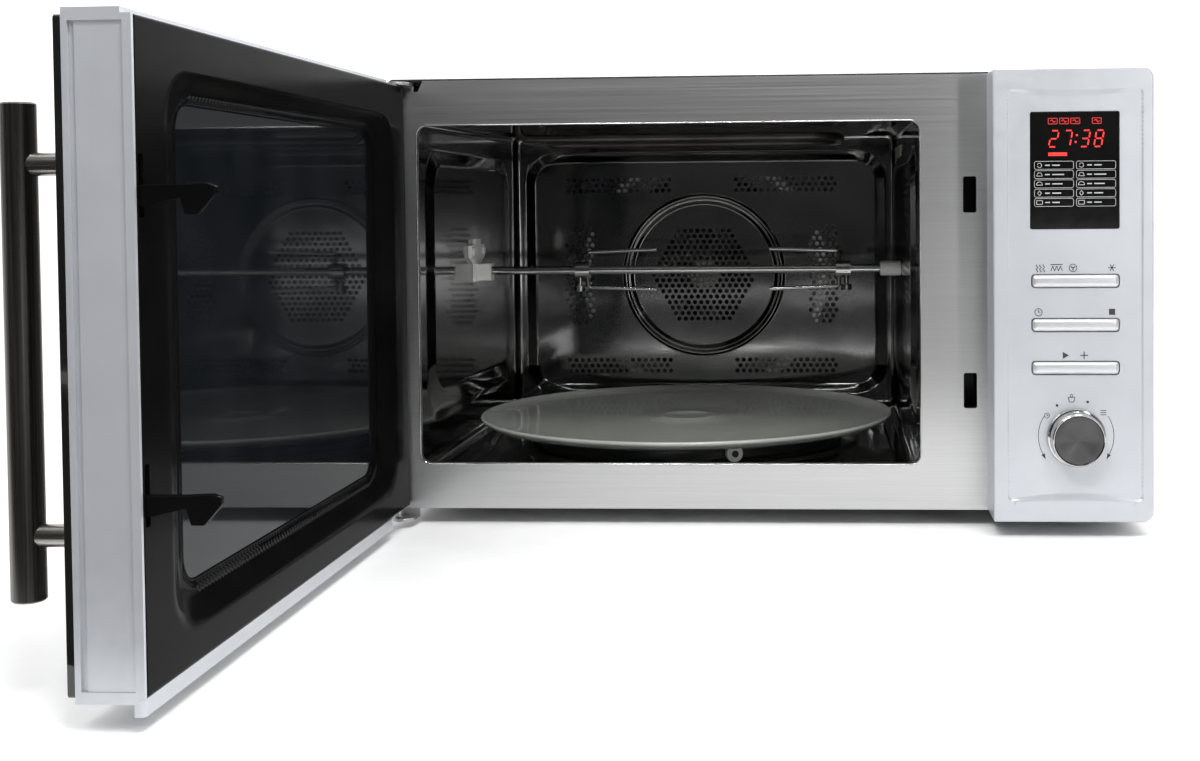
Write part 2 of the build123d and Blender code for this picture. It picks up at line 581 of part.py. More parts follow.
def handle_screws():
    """Screws from inside the steel door plate, through the glass, into the posts."""
    seat = DOOR_Y0 + 5.0 + SHEET
    return Compound(children=[screw(HANDLE_X, seat, z, "y", length=16.0) for z in POSTS_Z])


def latch_hooks():
    """Two hooks on one sliding bar inside the door's free edge."""
    y1 = DOOR_Y1
    x0, x1 = HOOK_X - 2.0, HOOK_X + 2.0
    bar = block(x0 - 4, x1, y1 - 16, y1 - 9, HOOKS_Z[0] - 6, HOOKS_Z[1] + 24)
    for z in HOOKS_Z:
        side = [(y1 - 10, z + 2), (y1 + 3, z + 4), (y1 + 18, z + 7.5), (y1 + 20, z), (y1 + 26, z),
                (y1 + 34, z + 9), (y1 + 34, z + 12.5), (y1 + 30, z + 14), (y1 + 18, z + 13.4),
                (y1 - 10, z + 13.4)]
        plane = Plane(origin=(x0, 0, 0), x_dir=(0, 1, 0), z_dir=(1, 0, 0))
        bar += extrude(plane * make_face(Polyline(*side, close=True)), x1 - x0)
    return bar


def latch_spring():
    """Extension spring that pulls the hooks down."""
    x, y, z0, z1 = HOOK_X - 9.6, DOOR_Y1 - 13.0, 98.0, 128.0
    path = Helix(pitch=2.5, height=z1 - z0, radius=2.6, center=(x, y, z0))
    wire = Plane(origin=path @ 0, z_dir=path % 0) * Circle(0.45)
    return sweep(wire, path=path, is_frenet=True)


# ---------------------------------------------------------------- turntable
def ring_point(angle, radius):
    return TT_X + radius * cos(radians(angle)), TT_Y + radius * sin(radians(angle))


def turntable_coupler():
    hub = rod((TT_X, TT_Y, CAV_Z0 + 0.6), "z", 9, PLATE_Z - CAV_Z0 - 0.75)
    shaft = rod((TT_X, TT_Y, CAV_Z0 - 9), "z", 3.0, 12)
    for i in range(3):
        lobe = block(0, 20, -5, 5, CAV_Z0 + 3, PLATE_Z - GAP)
        hub += Pos(TT_X, TT_Y, 0) * Rot(0, 0, i * 120) * lobe
    return hub + shaft


def glass_plate():
    profile = [(0, 0), (150, 0), (165, 1.8), (PLATE_R - 1, 5.4), (PLATE_R, 7.6),
               (PLATE_R - 1.6, 9.2), (PLATE_R - 4, 8.6), (162, 6.2), (150, 4.6), (0, 4.6)]
    plane = Plane(origin=(TT_X, TT_Y, PLATE_Z), x_dir=(1, 0, 0), z_dir=(0, -1, 0))
    plate = revolve(plane * make_face(Polyline(*profile, close=True)),
                    Axis((TT_X, TT_Y, 0), (0, 0, 1)))
    for i in range(3):
        lug = block(12, 22, -3.5, 3.5, PLATE_Z - 3.5, PLATE_Z + 0.2)
        plate += Pos(TT_X, TT_Y, 0) * Rot(0, 0, 60 + i * 120) * lug
    return plate


def roller_ring():
    z = CAV_Z0 + ROLLER_GAP + ROLLER_R
    ring = tube((TT_X, TT_Y, z - 4.2), "z", RING_R1, RING_R0, 6.2)
    for angle in ROLLER_ANGLES:
        pin = rod((RING_R1 - 1, 0, z), "x", 1.6, ROLLER_AT + ROLLER_LEN / 2 - RING_R1 + 2.2)
        pin += rod((ROLLER_AT + ROLLER_LEN / 2 + 0.4, 0, z), "x", 2.6, 0.9)
        ring += Pos(TT_X, TT_Y, 0) * Rot(0, 0, angle) * pin
    return ring


def roller(angle):
    z = CAV_Z0 + ROLLER_GAP + ROLLER_R
    wheel = tube((ROLLER_AT - ROLLER_LEN / 2, 0, z), "x", ROLLER_R, 1.6 + RUN, ROLLER_LEN)
    return Pos(TT_X, TT_Y, 0) * Rot(0, 0, angle) * wheel


# ---------------------------------------------------------------- spit
def spit_support():
    """Bracket on the left wall: a winged plate with two screws and a cradle for the spit's end."""
    x0 = CAV_X0 + EMBOSS + GAP
    plane = Plane(origin=(x0, SPIT_Y, SPIT_Z), x_dir=(0, 1, 0), z_dir=(1, 0, 0))
    wings = [(-9, -9), (9, -9), (9, 6), (24, 12), (24, 22), (9, 22), (9, 27), (-9, 27), (-9, 22),
             (-24, 22), (-24, 12), (-9, 6)]
    plate = extrude(plane * make_face(Polyline(*wings, close=True)), 3.0)
    plate += block(x0, x0 + 15, SPIT_Y - 7, SPIT_Y + 7, SPIT_Z - 8, SPIT_Z + 6)
    cradle_r = SPIT_R + RUN
    plate -= rod((x0 + 5, SPIT_Y, SPIT_Z), "x", cradle_r, 12)
    plate -= block(x0 + 5, x0 + 17, SPIT_Y - cradle_r, SPIT_Y + cradle_r, SPIT_Z, SPIT_Z + 8)
    for side in (-1, 1):
        plate += rod((x0 + 2, SPIT_Y + side * 18, SPIT_Z + 17), "x", 3.2, 2.4)
    return plate


def spit_rod():
    x0, x1 = CAV_X0 + EMBOSS + 6.5, CAV_X1 + 9.0
    spit = rod((x0, SPIT_Y, SPIT_Z), "x", SPIT_R, x1 - x0)
    spit += rod((92.9, SPIT_Y, SPIT_Z), "x", 5.4, 17.5)
    return spit + rod((SPIT_MOTOR_X, SPIT_Y, SPIT_Z), "x", 4.0, 8)


def fork(x, direction):
    """A hub that slides on the spit, with a bent wire prong above and below."""
    hub = tube((x - 6, SPIT_Y, SPIT_Z), "x", 7.0, SPIT_R, 12)
    hub -= rod((x - direction * FORK_SCREW_BACK, SPIT_Y, SPIT_Z - 12), "z", 2.0, 12)
    root = x + direction * 3.4
    for side in (-1, 1):
        path = FilletPolyline((root, SPIT_Y, SPIT_Z + side * 5.5),
                              (root, SPIT_Y + 7, SPIT_Z + side * 15),
                              (x + direction * 62, SPIT_Y + 5, SPIT_Z + side * 17), radius=3)
        wire = Plane(origin=path @ 0, z_dir=path % 0) * Circle(1.7)
        hub += sweep(wire, path=path)
    return hub - rod((x - 7, SPIT_Y, SPIT_Z), "x", SPIT_R, 14)


def spit_forks():
    return Compound(children=[fork(x, direction) for x, direction in FORKS])


def fork_screws():
    screws = []
    for fork_x, direction in FORKS:
        x = fork_x - direction * FORK_SCREW_BACK
        shank = rod((x, SPIT_Y, SPIT_Z - 15), "z", 1.95, 15 - SPIT_R - RUN)
        head = rod((x, SPIT_Y, SPIT_Z - 18), "z", 4.5, 5)
        screws.append(shank + head)
    return Compound(children=screws)


# ---------------------------------------------------------------- control panel
def control_panel():
    x0, x1, z0, z1, y0, t = PANEL_X0, PANEL_X1, PANEL_Z0, PANEL_Z1, PANEL_Y0, PANEL_WALL
    body = block(x0, x1, y0, FRONT, z0, z1)
    body = fillet(body.edges().filter_by(Axis.Y).sort_by(Axis.X)[-2:], 7.0)
    body -= block(x0 + t, x1 - t, y0 + t + FIELD_DEPTH, FRONT + 1, z0 + t, z1 - t)
    body -= slab_xz(rect_xz(*FIELD, 3.0), y0 - 1, y0 + FIELD_DEPTH)
    body -= slab_xz(rect_xz(*DISPLAY, 1.5), y0 - 1, y0 + 8)
    for z in BARS_Z.values():
        hole = rect_xz(BAR_X0 - BAR_PLAY, BAR_X1 + BAR_PLAY, z - BAR_H / 2 - BAR_PLAY,
                       z + BAR_H / 2 + BAR_PLAY, 2.5)
        body -= slab_xz(hole, y0 - 1, y0 + 8)
    body -= rod((KNOB_X, y0 - 1, KNOB_Z), "y", 7.0, 10)
    return body


def display_window():
    x0, x1, z0, z1 = DISPLAY
    y0 = PANEL_Y0 + FIELD_DEPTH - 0.4
    return slab_xz(rect_xz(x0 + GAP, x1 - GAP, z0 + GAP, z1 - GAP, 1.3), y0, y0 + 2.4)


def display_module():
    x0, x1, z0, z1 = DISPLAY
    y0 = PANEL_Y0 + FIELD_DEPTH + PANEL_WALL + 0.3
    return block(x0 + 4, x1 - 4, y0, y0 + 8, z0 + 4, z1 - 4)


def control_board():
    y0 = PANEL_Y0 + FIELD_DEPTH + PANEL_WALL + 8.5
    board = block(168, 262, y0, y0 + 1.6, 50, 300)
    for i in range(3):
        board += rod((180 + 30 * i, y0 + 1.6, 250), "y", 6.0, 16)
    return board + block(176, 214, y0 + 1.6, y0 + 19, 186, 226)


def knob_encoder():
    y1 = PANEL_Y0 + FIELD_DEPTH + PANEL_WALL + 8.5 - GAP
    body = block(KNOB_X - 8, KNOB_X + 8, y1 - 7, y1, KNOB_Z - 8, KNOB_Z + 8)
    return body - rod((KNOB_X, y1 - 8, KNOB_Z), "y", 3.0 + RUN, 6)


def button_switches():
    y1 = PANEL_Y0 + FIELD_DEPTH + PANEL_WALL + 8.5 - GAP
    places = [(x, z) for z in (BARS_Z["mode_bar"], BARS_Z["clock_bar"]) for x in (198, 236)]
    places.append((217.3, BARS_Z["start_bar"]))
    return Compound(children=[block(x - 3, x + 3, y1 - 4.6, y1, z - 3, z + 3) for x, z in places])


def bar_button(z):
    """A long cap that stands out of its slot, with a wider foot behind the panel."""
    y0 = PANEL_Y0 - 1.6
    cap = slab_xz(rect_xz(BAR_X0, BAR_X1, z - BAR_H / 2, z + BAR_H / 2, 2.0), y0,
                  PANEL_Y0 + FIELD_DEPTH + PANEL_WALL + 0.6)
    cap = chamfer(cap.faces().sort_by(Axis.Y)[0].edges(), 0.7)
    y1 = PANEL_Y0 + FIELD_DEPTH + PANEL_WALL + 0.5
    foot = block(BAR_X0 - 1.6, BAR_X1 + 1.6, y1 + 1.3, y1 + 2.5, z - 5.5, z + 5.5)
    web = block(BAR_X0 + 2, BAR_X1 - 2, y1, y1 + 2.4, z - 3, z + 3)
    return cap + web + foot


def selector_knob():
    y0 = PANEL_Y0 - KNOB_OUT
    skirt_y1 = PANEL_Y0 + FIELD_DEPTH - 0.5
    skirt = rod((KNOB_X, PANEL_Y0 - 2.4, KNOB_Z), "y", KNOB_R, skirt_y1 - PANEL_Y0 + 2.4)
    cap = Pos(KNOB_X, y0, KNOB_Z) * Rot(-90, 0, 0) * Cone(
        CAP_R, CAP_R + 0.8, PANEL_Y0 - 2.4 - y0, align=(Align.CENTER, Align.CENTER, Align.MIN))
    cap = fillet(cap.faces().sort_by(Axis.Y)[0].edges(), 1.0)
    stem_y1 = PANEL_Y0 + FIELD_DEPTH + PANEL_WALL + 5.5
    return cap + skirt + rod((KNOB_X, skirt_y1 - 1, KNOB_Z), "y", 3.0, stem_y1 - skirt_y1 + 1)


# ---------------------------------------------------------------- all nodes
def build():
    cabinet = {
        "outer_casing": outer_casing, "base_plate": base_plate, "back_panel": back_panel,
        "casing_screws": casing_screws, "rubber_feet": rubber_feet, "cord_gland": cord_gland,
        "front_frame": front_frame, "cavity_shell": cavity_shell, "cavity_back": cavity_back,
        "grill_heater": grill_heater, "convection_housing": convection_housing,
        "convection_heater": convection_heater, "convection_fan": convection_fan,
        "convection_motor": lambda: motor((FAN_X, CAV_Y1 + 40 + GAP, FAN_Z), 22, 40, 3.0 + RUN),
        "waveguide": waveguide, "waveguide_cover": waveguide_cover, "magnetron": magnetron,
        "hv_transformer": hv_transformer, "hv_capacitor": hv_capacitor,
        "cooling_fan_shroud": cooling_fan_shroud, "cooling_fan_motor": cooling_fan_motor,
        "cooling_fan": cooling_fan, "lamp_housing": lamp_housing, "cavity_lamp": cavity_lamp,
        "turntable_motor": turntable_motor, "spit_motor": spit_motor,
        "interlock_bracket": interlock_bracket, "interlock_switches": interlock_switches,
        "upper_hinge_bracket": lambda: hinge_bracket(DOOR_Z1 + 0.6, -1),
        "lower_hinge_bracket": lambda: hinge_bracket(5.4, 1),
        "turntable_coupler": turntable_coupler, "glass_plate": glass_plate,
        "roller_ring": roller_ring,
        "roller_1": lambda: roller(ROLLER_ANGLES[0]), "roller_2": lambda: roller(ROLLER_ANGLES[1]),
        "roller_3": lambda: roller(ROLLER_ANGLES[2]),
        "spit_support": spit_support, "spit_rod": spit_rod, "spit_forks": spit_forks,
        "fork_screws": fork_screws,
        "control_panel": control_panel, "display_window": display_window,
        "display_module": display_module, "control_board": control_board,
        "knob_encoder": knob_encoder, "button_switches": button_switches,
        "selector_knob": selector_knob,
    }
    for name, z in BARS_Z.items():
        cabinet[name] = lambda z=z: bar_button(z)
    door = {
        "door_frame": door_frame, "door_inner_panel": door_inner_panel,
        "door_screen": door_screen, "door_window_glass": door_window_glass,
        "door_glass": door_glass, "handle_bar": handle_bar, "handle_posts": handle_posts,
        "handle_screws": handle_screws, "latch_hooks": latch_hooks, "latch_spring": latch_spring,
    }
    nodes = {name: make() for name, make in cabinet.items()}
    nodes.update({name: open_door(make()) for name, make in door.items()})
    foot_x, foot_y = FEET[0]
    return {name: Pos(-foot_x, -foot_y, 0) * shape for name, shape in nodes.items()}


os.makedirs("parts", exist_ok=True)
for node, shape in build().items():
    export_step(shape, f"parts/{node}.step")
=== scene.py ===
import json
import math

import bmesh
import bpy
import numpy as np
from mathutils import Matrix, Vector
from mathutils.geometry import delaunay_2d_cdt
from mathutils.kdtree import KDTree
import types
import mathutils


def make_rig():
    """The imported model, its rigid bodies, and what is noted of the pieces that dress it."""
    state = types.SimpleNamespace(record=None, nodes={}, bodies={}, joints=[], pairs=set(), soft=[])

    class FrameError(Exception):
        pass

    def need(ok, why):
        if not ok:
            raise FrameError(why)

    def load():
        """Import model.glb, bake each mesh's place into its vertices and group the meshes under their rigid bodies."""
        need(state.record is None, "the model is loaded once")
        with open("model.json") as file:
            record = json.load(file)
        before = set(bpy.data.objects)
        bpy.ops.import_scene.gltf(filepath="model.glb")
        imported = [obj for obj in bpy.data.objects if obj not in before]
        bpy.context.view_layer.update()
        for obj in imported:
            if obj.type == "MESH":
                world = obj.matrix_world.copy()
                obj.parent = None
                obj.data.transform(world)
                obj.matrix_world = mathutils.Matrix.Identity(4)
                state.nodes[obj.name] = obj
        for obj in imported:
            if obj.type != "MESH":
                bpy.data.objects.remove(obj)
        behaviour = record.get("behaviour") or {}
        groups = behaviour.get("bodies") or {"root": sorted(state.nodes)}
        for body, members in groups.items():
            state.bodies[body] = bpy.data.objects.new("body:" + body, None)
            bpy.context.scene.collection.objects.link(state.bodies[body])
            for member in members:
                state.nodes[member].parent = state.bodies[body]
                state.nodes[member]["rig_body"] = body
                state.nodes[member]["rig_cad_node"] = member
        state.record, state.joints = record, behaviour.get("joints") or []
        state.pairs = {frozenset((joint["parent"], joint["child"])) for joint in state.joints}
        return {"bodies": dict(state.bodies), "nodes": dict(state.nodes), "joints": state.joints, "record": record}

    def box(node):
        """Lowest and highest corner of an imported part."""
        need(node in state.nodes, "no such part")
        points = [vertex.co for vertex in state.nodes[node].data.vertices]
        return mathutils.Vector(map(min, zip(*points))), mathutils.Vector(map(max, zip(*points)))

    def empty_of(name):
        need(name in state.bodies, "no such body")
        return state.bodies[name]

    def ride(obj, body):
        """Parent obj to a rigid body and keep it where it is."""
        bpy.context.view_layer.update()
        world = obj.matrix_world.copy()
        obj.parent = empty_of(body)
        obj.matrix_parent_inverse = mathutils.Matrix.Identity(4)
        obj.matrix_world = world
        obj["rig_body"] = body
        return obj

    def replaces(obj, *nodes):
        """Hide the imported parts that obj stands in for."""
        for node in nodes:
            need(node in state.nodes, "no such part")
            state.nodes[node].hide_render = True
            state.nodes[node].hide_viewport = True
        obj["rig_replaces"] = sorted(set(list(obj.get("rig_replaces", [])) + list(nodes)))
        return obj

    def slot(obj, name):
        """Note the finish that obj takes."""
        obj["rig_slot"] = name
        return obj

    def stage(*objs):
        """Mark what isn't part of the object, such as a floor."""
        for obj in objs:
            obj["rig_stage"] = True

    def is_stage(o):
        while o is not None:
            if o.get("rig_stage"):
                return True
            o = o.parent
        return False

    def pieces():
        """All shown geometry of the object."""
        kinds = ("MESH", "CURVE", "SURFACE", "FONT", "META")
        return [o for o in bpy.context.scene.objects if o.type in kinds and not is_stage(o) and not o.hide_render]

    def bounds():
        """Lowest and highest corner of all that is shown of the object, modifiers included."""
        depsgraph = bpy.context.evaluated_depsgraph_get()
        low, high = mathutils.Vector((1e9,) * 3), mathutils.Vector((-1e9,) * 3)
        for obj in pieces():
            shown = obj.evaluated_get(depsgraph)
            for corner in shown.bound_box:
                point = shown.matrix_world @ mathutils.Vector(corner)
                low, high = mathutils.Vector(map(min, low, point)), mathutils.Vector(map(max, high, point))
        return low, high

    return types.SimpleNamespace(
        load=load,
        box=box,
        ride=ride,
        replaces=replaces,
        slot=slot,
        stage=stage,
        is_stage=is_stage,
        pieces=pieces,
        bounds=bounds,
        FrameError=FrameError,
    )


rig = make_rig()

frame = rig.load()
CAD_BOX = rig.bounds()
NODES = frame["nodes"]

# Shapes are drawn in millimetres about the middle of the casing, with +X right, +Y back and +Z up,
# and are moved to the frame's place when their mesh is made.
MM = 0.001
CASE_DEPTH_BEHIND = 240.0                       # casing middle to its back face
case_lo, case_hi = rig.box("outer_casing")
MIDDLE = np.array([(case_lo.x + case_hi.x) / 2, case_hi.y - CASE_DEPTH_BEHIND * MM, 0.0])


def box_mm(node):
    """A CAD node's box as x0, x1, y0, y1, z0, z1 in millimetres about the casing's middle."""
    lo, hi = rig.box(node)
    a, b = (np.array(lo) - MIDDLE) / MM, (np.array(hi) - MIDDLE) / MM
    return a[0], b[0], a[1], b[1], a[2], b[2]


# ---------------------------------------------------------------- materials
class Look:
    """A procedural material, built up a layer at a time."""

    def __init__(self, name, colour, metallic=0.0, roughness=0.5, **sockets):
        self.material = bpy.data.materials.new(name)
        self.material.use_nodes = True
        self.tree = self.material.node_tree
        self.shader = self.tree.nodes["Principled BSDF"]
        self.put("Base Color", (*colour, 1.0))
        self.put("Metallic", metallic)
        self.put("Roughness", roughness)
        for socket, value in sockets.items():
            self.put(socket.replace("_", " "), value)
        self.place = self.tree.nodes.new("ShaderNodeTexCoord").outputs["Object"]
        self.normal = None

    def put(self, socket, value):
        self.shader.inputs[socket].default_value = value

    def node(self, kind, **values):
        made = self.tree.nodes.new("ShaderNode" + kind)
        for socket, value in values.items():
            made.inputs[socket.replace("_", " ")].default_value = value
        return made

    def link(self, source, target):
        self.tree.links.new(source, target)

    def grain(self, size, stretch=(1, 1, 1), detail=2.0):
        """Noise with grains of that size in millimetres, drawn out by stretch."""
        mapping = self.node("Mapping", Scale=[1 / (MM * size * s) for s in stretch])
        noise = self.node("TexNoise", Scale=1.0, Detail=detail)
        self.link(self.place, mapping.inputs["Vector"])
        self.link(mapping.outputs["Vector"], noise.inputs["Vector"])
        return noise.outputs["Fac"]

    def tint(self, value, dark, light):
        ramp = self.tree.nodes.new("ShaderNodeValToRGB")
        first, last = ramp.color_ramp.elements
        first.position, last.position = 0.3, 0.7
        first.color, last.color = (*dark, 1.0), (*light, 1.0)
        self.link(value, ramp.inputs["Fac"])
        self.link(ramp.outputs["Color"], self.shader.inputs["Base Color"])
        return self

    def gloss(self, value, low, high):
        spread = self.node("MapRange", From_Min=0.3, From_Max=0.7, To_Min=low, To_Max=high)
        self.link(value, spread.inputs["Value"])
        self.link(spread.outputs["Result"], self.shader.inputs["Roughness"])
        return self

    def relief(self, value, height):
        """Bumps of that height in millimetres."""
        bump = self.node("Bump", Strength=1.0, Distance=height * MM)
        self.link(value, bump.inputs["Height"])
        if self.normal:
            self.link(self.normal, bump.inputs["Normal"])
        self.normal = bump.outputs["Normal"]
        self.link(self.normal, self.shader.inputs["Normal"])
        return self


def grey(level, blue=1.0):
    return (level, level, level * blue)


def brushed(name, dark, light, stretch, rough, size=0.7, height=0.004, turned=0.5, around=0.0):
    """Metal with fine lines drawn out along one axis, and faint cloudy patches."""
    look = Look(name, light, metallic=1.0, Anisotropic=turned, Anisotropic_Rotation=around)
    lines = look.grain(size, stretch, detail=3.0)
    look.tint(lines, dark, light).gloss(look.grain(size * 1.7, stretch), *rough)
    return look.relief(lines, height).relief(look.grain(60.0), 0.02)


def moulded(name, dark, light, rough=(0.35, 0.5), texture=0.6, height=0.01, **sockets):
    """Plastic or paint with a fine texture and faint changes of colour."""
    look = Look(name, light, **sockets)
    look.tint(look.grain(45.0, detail=4.0), dark, light)
    look.gloss(look.grain(8.0, detail=4.0), *rough)
    return look.relief(look.grain(texture), height)


def polished(name, dark, light, rough=(0.08, 0.16), wave=0.25):
    """Bright rolled steel: wavy reflections, cloudy patches and hairline scratches."""
    look = Look(name, light, metallic=1.0)
    look.tint(look.grain(70.0, (1, 1.4, 0.8), detail=5.0), dark, light)
    look.gloss(look.grain(2.0, (1, 14, 1), detail=4.0), *rough)
    look.relief(look.grain(55.0, (1, 1.3, 1), detail=1.0), wave)
    return look.relief(look.grain(0.6, (1, 30, 1)), 0.0015)


ALONG_X, ALONG_Y, ALONG_Z = (160, 1, 1), (1, 160, 1), (1, 1, 160)
LOOKS = {
    "casing_paint": moulded("casing_paint", grey(0.44, 1.03), grey(0.5, 1.03), texture=0.5,
                            height=0.02, metallic=0.5),
    "zinc_steel": polished("zinc_steel", grey(0.42), grey(0.55), rough=(0.28, 0.42), wave=0.1),
    "front_steel": brushed("front_steel", grey(0.54), grey(0.6), ALONG_X, rough=(0.3, 0.36),
                           height=0.0015),
    # Cavity steel is coloured much darker than bare steel: painted shade of the deep cavity, added to its dark
    # reflections.
    "cavity_steel": polished("cavity_steel", grey(0.2), grey(0.3), rough=(0.06, 0.12)),
    "heater_sheath": moulded("heater_sheath", (0.04, 0.036, 0.033), (0.09, 0.08, 0.075),
                             rough=(0.3, 0.5), metallic=0.9),
    "mica": moulded("mica", (0.42, 0.38, 0.31), (0.56, 0.52, 0.44), texture=2.0),
    "silver_plastic": moulded("silver_plastic", (0.49, 0.505, 0.535), (0.53, 0.545, 0.575),
                              rough=(0.3, 0.4), texture=0.25, height=0.003, metallic=0.5),
    "black_glass": moulded("black_glass", grey(0.004), grey(0.007), rough=(0.04, 0.08),
                           texture=90.0, height=0.02, Coat_Weight=0.6, Coat_Roughness=0.02),
    "black_gloss": moulded("black_gloss", grey(0.002), grey(0.004), rough=(0.16, 0.22),
                           texture=80.0, height=0.01, IOR=1.15, Specular_IOR_Level=0.2),
    "window_glass": moulded("window_glass", (0.004, 0.005, 0.006), (0.008, 0.009, 0.011),
                            rough=(0.02, 0.05), texture=120.0, height=0.002, IOR=1.3),
    "screen_black": moulded("screen_black", grey(0.01), grey(0.016), rough=(0.4, 0.55)),
    "handle_steel": brushed("handle_steel", (0.09, 0.085, 0.08), (0.2, 0.19, 0.18), ALONG_Z,
                            rough=(0.25, 0.36)),
    "post_steel": brushed("post_steel", (0.24, 0.23, 0.22), (0.4, 0.38, 0.36), ALONG_X,
                          rough=(0.2, 0.32)),
    "black_plastic": moulded("black_plastic", grey(0.008), grey(0.014), rough=(0.32, 0.45)),
    "white_plastic": moulded("white_plastic", (0.76, 0.76, 0.73), (0.86, 0.86, 0.83)),
    "tray_glass": moulded("tray_glass", (0.52, 0.54, 0.5), (0.6, 0.62, 0.57),
                          rough=(0.14, 0.22), texture=2.2, height=0.03,
                          Transmission_Weight=0.4, IOR=1.5, Coat_Weight=0.5,
                          Coat_Roughness=0.06),
    "spit_steel": brushed("spit_steel", grey(0.3), grey(0.46), ALONG_X, rough=(0.14, 0.24)),
    "knob_cap": brushed("knob_cap", grey(0.09), grey(0.1), (1, 1, 1), rough=(0.24, 0.25), size=0.5,
                        height=0.0002, turned=0.9, around=0.25),
    "knob_rim": polished("knob_rim", grey(0.5), grey(0.58), rough=(0.07, 0.12), wave=0.0),
    "bar_silver": moulded("bar_silver", grey(0.58, 1.04), grey(0.62, 1.04), rough=(0.34, 0.38),
                          texture=40.0, height=0.003, metallic=0.7),
    "display_glass": moulded("display_glass", grey(0.002), grey(0.004), rough=(0.08, 0.12),
                             texture=60.0, height=0.01),
    "rubber": moulded("rubber", grey(0.01), grey(0.02), rough=(0.7, 0.85)),
    "copper_core": moulded("copper_core", (0.12, 0.06, 0.03), (0.3, 0.14, 0.06), texture=1.5,
                           height=0.2, metallic=0.6),
    "magnetron_metal": polished("magnetron_metal", grey(0.5), grey(0.62), rough=(0.2, 0.35)),
    "board_green": moulded("board_green", (0.01, 0.09, 0.04), (0.02, 0.14, 0.06)),
    "lamp_glass": moulded("lamp_glass", (0.8, 0.76, 0.66), (0.9, 0.86, 0.76), rough=(0.1, 0.2)),
    "print_grey": moulded("print_grey", grey(0.02), grey(0.035), rough=(0.5, 0.6)),
    "print_white": moulded("print_white", grey(0.32), grey(0.42), rough=(0.5, 0.6)),
}
# Lit signs: their dark, middle and light red, and how strongly they shine.
for name, dark_red, red, light_red, shine in (("red_glow", 0.4, 0.5, 0.6, 0.85),
                                              ("red_dim", 0.25, 0.3, 0.35, 0.32)):
    lit = LOOKS[name] = Look(name, (red, 0.01, 0.01), roughness=0.4, Emission_Strength=shine)
    lit.put("Emission Color", (1.0, 0.035, 0.03, 1.0))
    lit.tint(lit.grain(1.5), (dark_red, 0.01, 0.01), (light_red, 0.015, 0.015))

# The record's slot of each CAD node is the name of its look, apart from these.
OWN_LOOKS = {"handle_posts": "post_steel", "latch_hooks": "black_gloss", "selector_knob": "knob_rim"}
for part in frame["record"]["subparts"]:
    cad = NODES[part["node"]]
    cad.data.materials.clear()
    name = OWN_LOOKS.get(part["node"], part["material_slot"])
    cad.data.materials.append(LOOKS[name].material)


# ---------------------------------------------------------------- meshes
def linked(name, data):
    """A new object in the scene."""
    made = bpy.data.objects.new(name, data)
    bpy.context.scene.collection.objects.link(made)
    return made


def add_piece(name, points, faces, body, slot, look, replaced=(), corners=None):
    """A mesh piece from points in millimetres, in the frame, on its body."""
    mesh = bpy.data.meshes.new(name)
    mesh.from_pydata((np.asarray(points) * MM + MIDDLE).tolist(), [], faces)
    mesh.update()
    mesh.polygons.foreach_set("use_smooth", [corners is not None] * len(mesh.polygons))
    if corners is not None:
        mesh.normals_split_custom_set([tuple(c) for c in corners])
    piece = linked(name, mesh)
    mesh.materials.append(LOOKS[look].material)
    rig.ride(piece, body)
    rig.slot(piece, slot)
    if replaced:
        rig.replaces(piece, *replaced)
    return piece


def rounded_rect(rect, r, step=5.0, left=None):
    """Points round a rounded rectangle, anticlockwise. left is the left corners' own radius."""
    x0, x1, y0, y1 = rect
    points = []
    l = r if left is None else left
    arc = max(3, int(math.pi / 2 * r / step * 2) + 2)
    centres = ((x1 - r, y0 + r, -90, r), (x1 - r, y1 - r, 0, r),
               (x0 + l, y1 - l, 90, l), (x0 + l, y0 + l, 180, l))
    for i, (cx, cy, start, radius) in enumerate(centres):
        for k in range(arc + 1):
            a = math.radians(start + 90 * k / arc)
            points.append((cx + radius * math.cos(a), cy + radius * math.sin(a)))
        nx, ny, nstart, radius = centres[(i + 1) % 4]
        a = math.radians(nstart)
        end = (nx + radius * math.cos(a), ny + radius * math.sin(a))
        begin = points[-1]
        count = int(math.dist(begin, end) / step)
        for k in range(1, count):
            t = k / count
            points.append((begin[0] * (1 - t) + end[0] * t, begin[1] * (1 - t) + end[1] * t))
    return points


def circle(x, y, r, count=12):
    return [(x + r * math.cos(2 * math.pi * k / count), y + r * math.sin(2 * math.pi * k / count))
            for k in range(count)]


def outside(u, v, rect, r):
    """Distance outside a rounded rectangle, negative inside."""
    x0, x1, y0, y1 = rect
    qx = np.abs(u - (x0 + x1) / 2) - (x1 - x0) / 2 + r
    qy = np.abs(v - (y0 + y1) / 2) - (y1 - y0) / 2 + r
    return np.hypot(np.maximum(qx, 0), np.maximum(qy, 0)) + np.minimum(np.maximum(qx, qy), 0) - r


def ramp(t, soft=0.22):
    """From 0 to 1 in a straight slope with a rounded foot and head."""
    t = np.clip(t, 0, 1)
    k = 1 / (2 * soft * (1 - soft))
    slope = (t - soft / 2) / (1 - soft)
    return np.where(t < soft, t * t * k, np.where(t > 1 - soft, 1 - (1 - t) ** 2 * k, slope))


def press_share(u, v, outer, r_outer, inner, r_inner):
    """How far a point is from the outer outline, 0, to the inner one, 1."""
    d_out = np.maximum(-outside(u, v, outer, r_outer), 0)
    d_in = np.maximum(outside(u, v, inner, r_inner), 0)
    return d_out / np.maximum(d_out + d_in, 1e-6)


def press_lines(outer, r_outer, inner, r_inner, shares=(0, 0.1, 0.22, 0.5, 0.78, 0.9, 1)):
    """Points along a press's two edges and between them, where the sheet bends."""
    points = []
    for share in shares:
        rect = [a * (1 - share) + b * share for a, b in zip(outer, inner)]
        points += rounded_rect(rect, r_outer * (1 - share) + r_inner * share, 4.0)
    return points


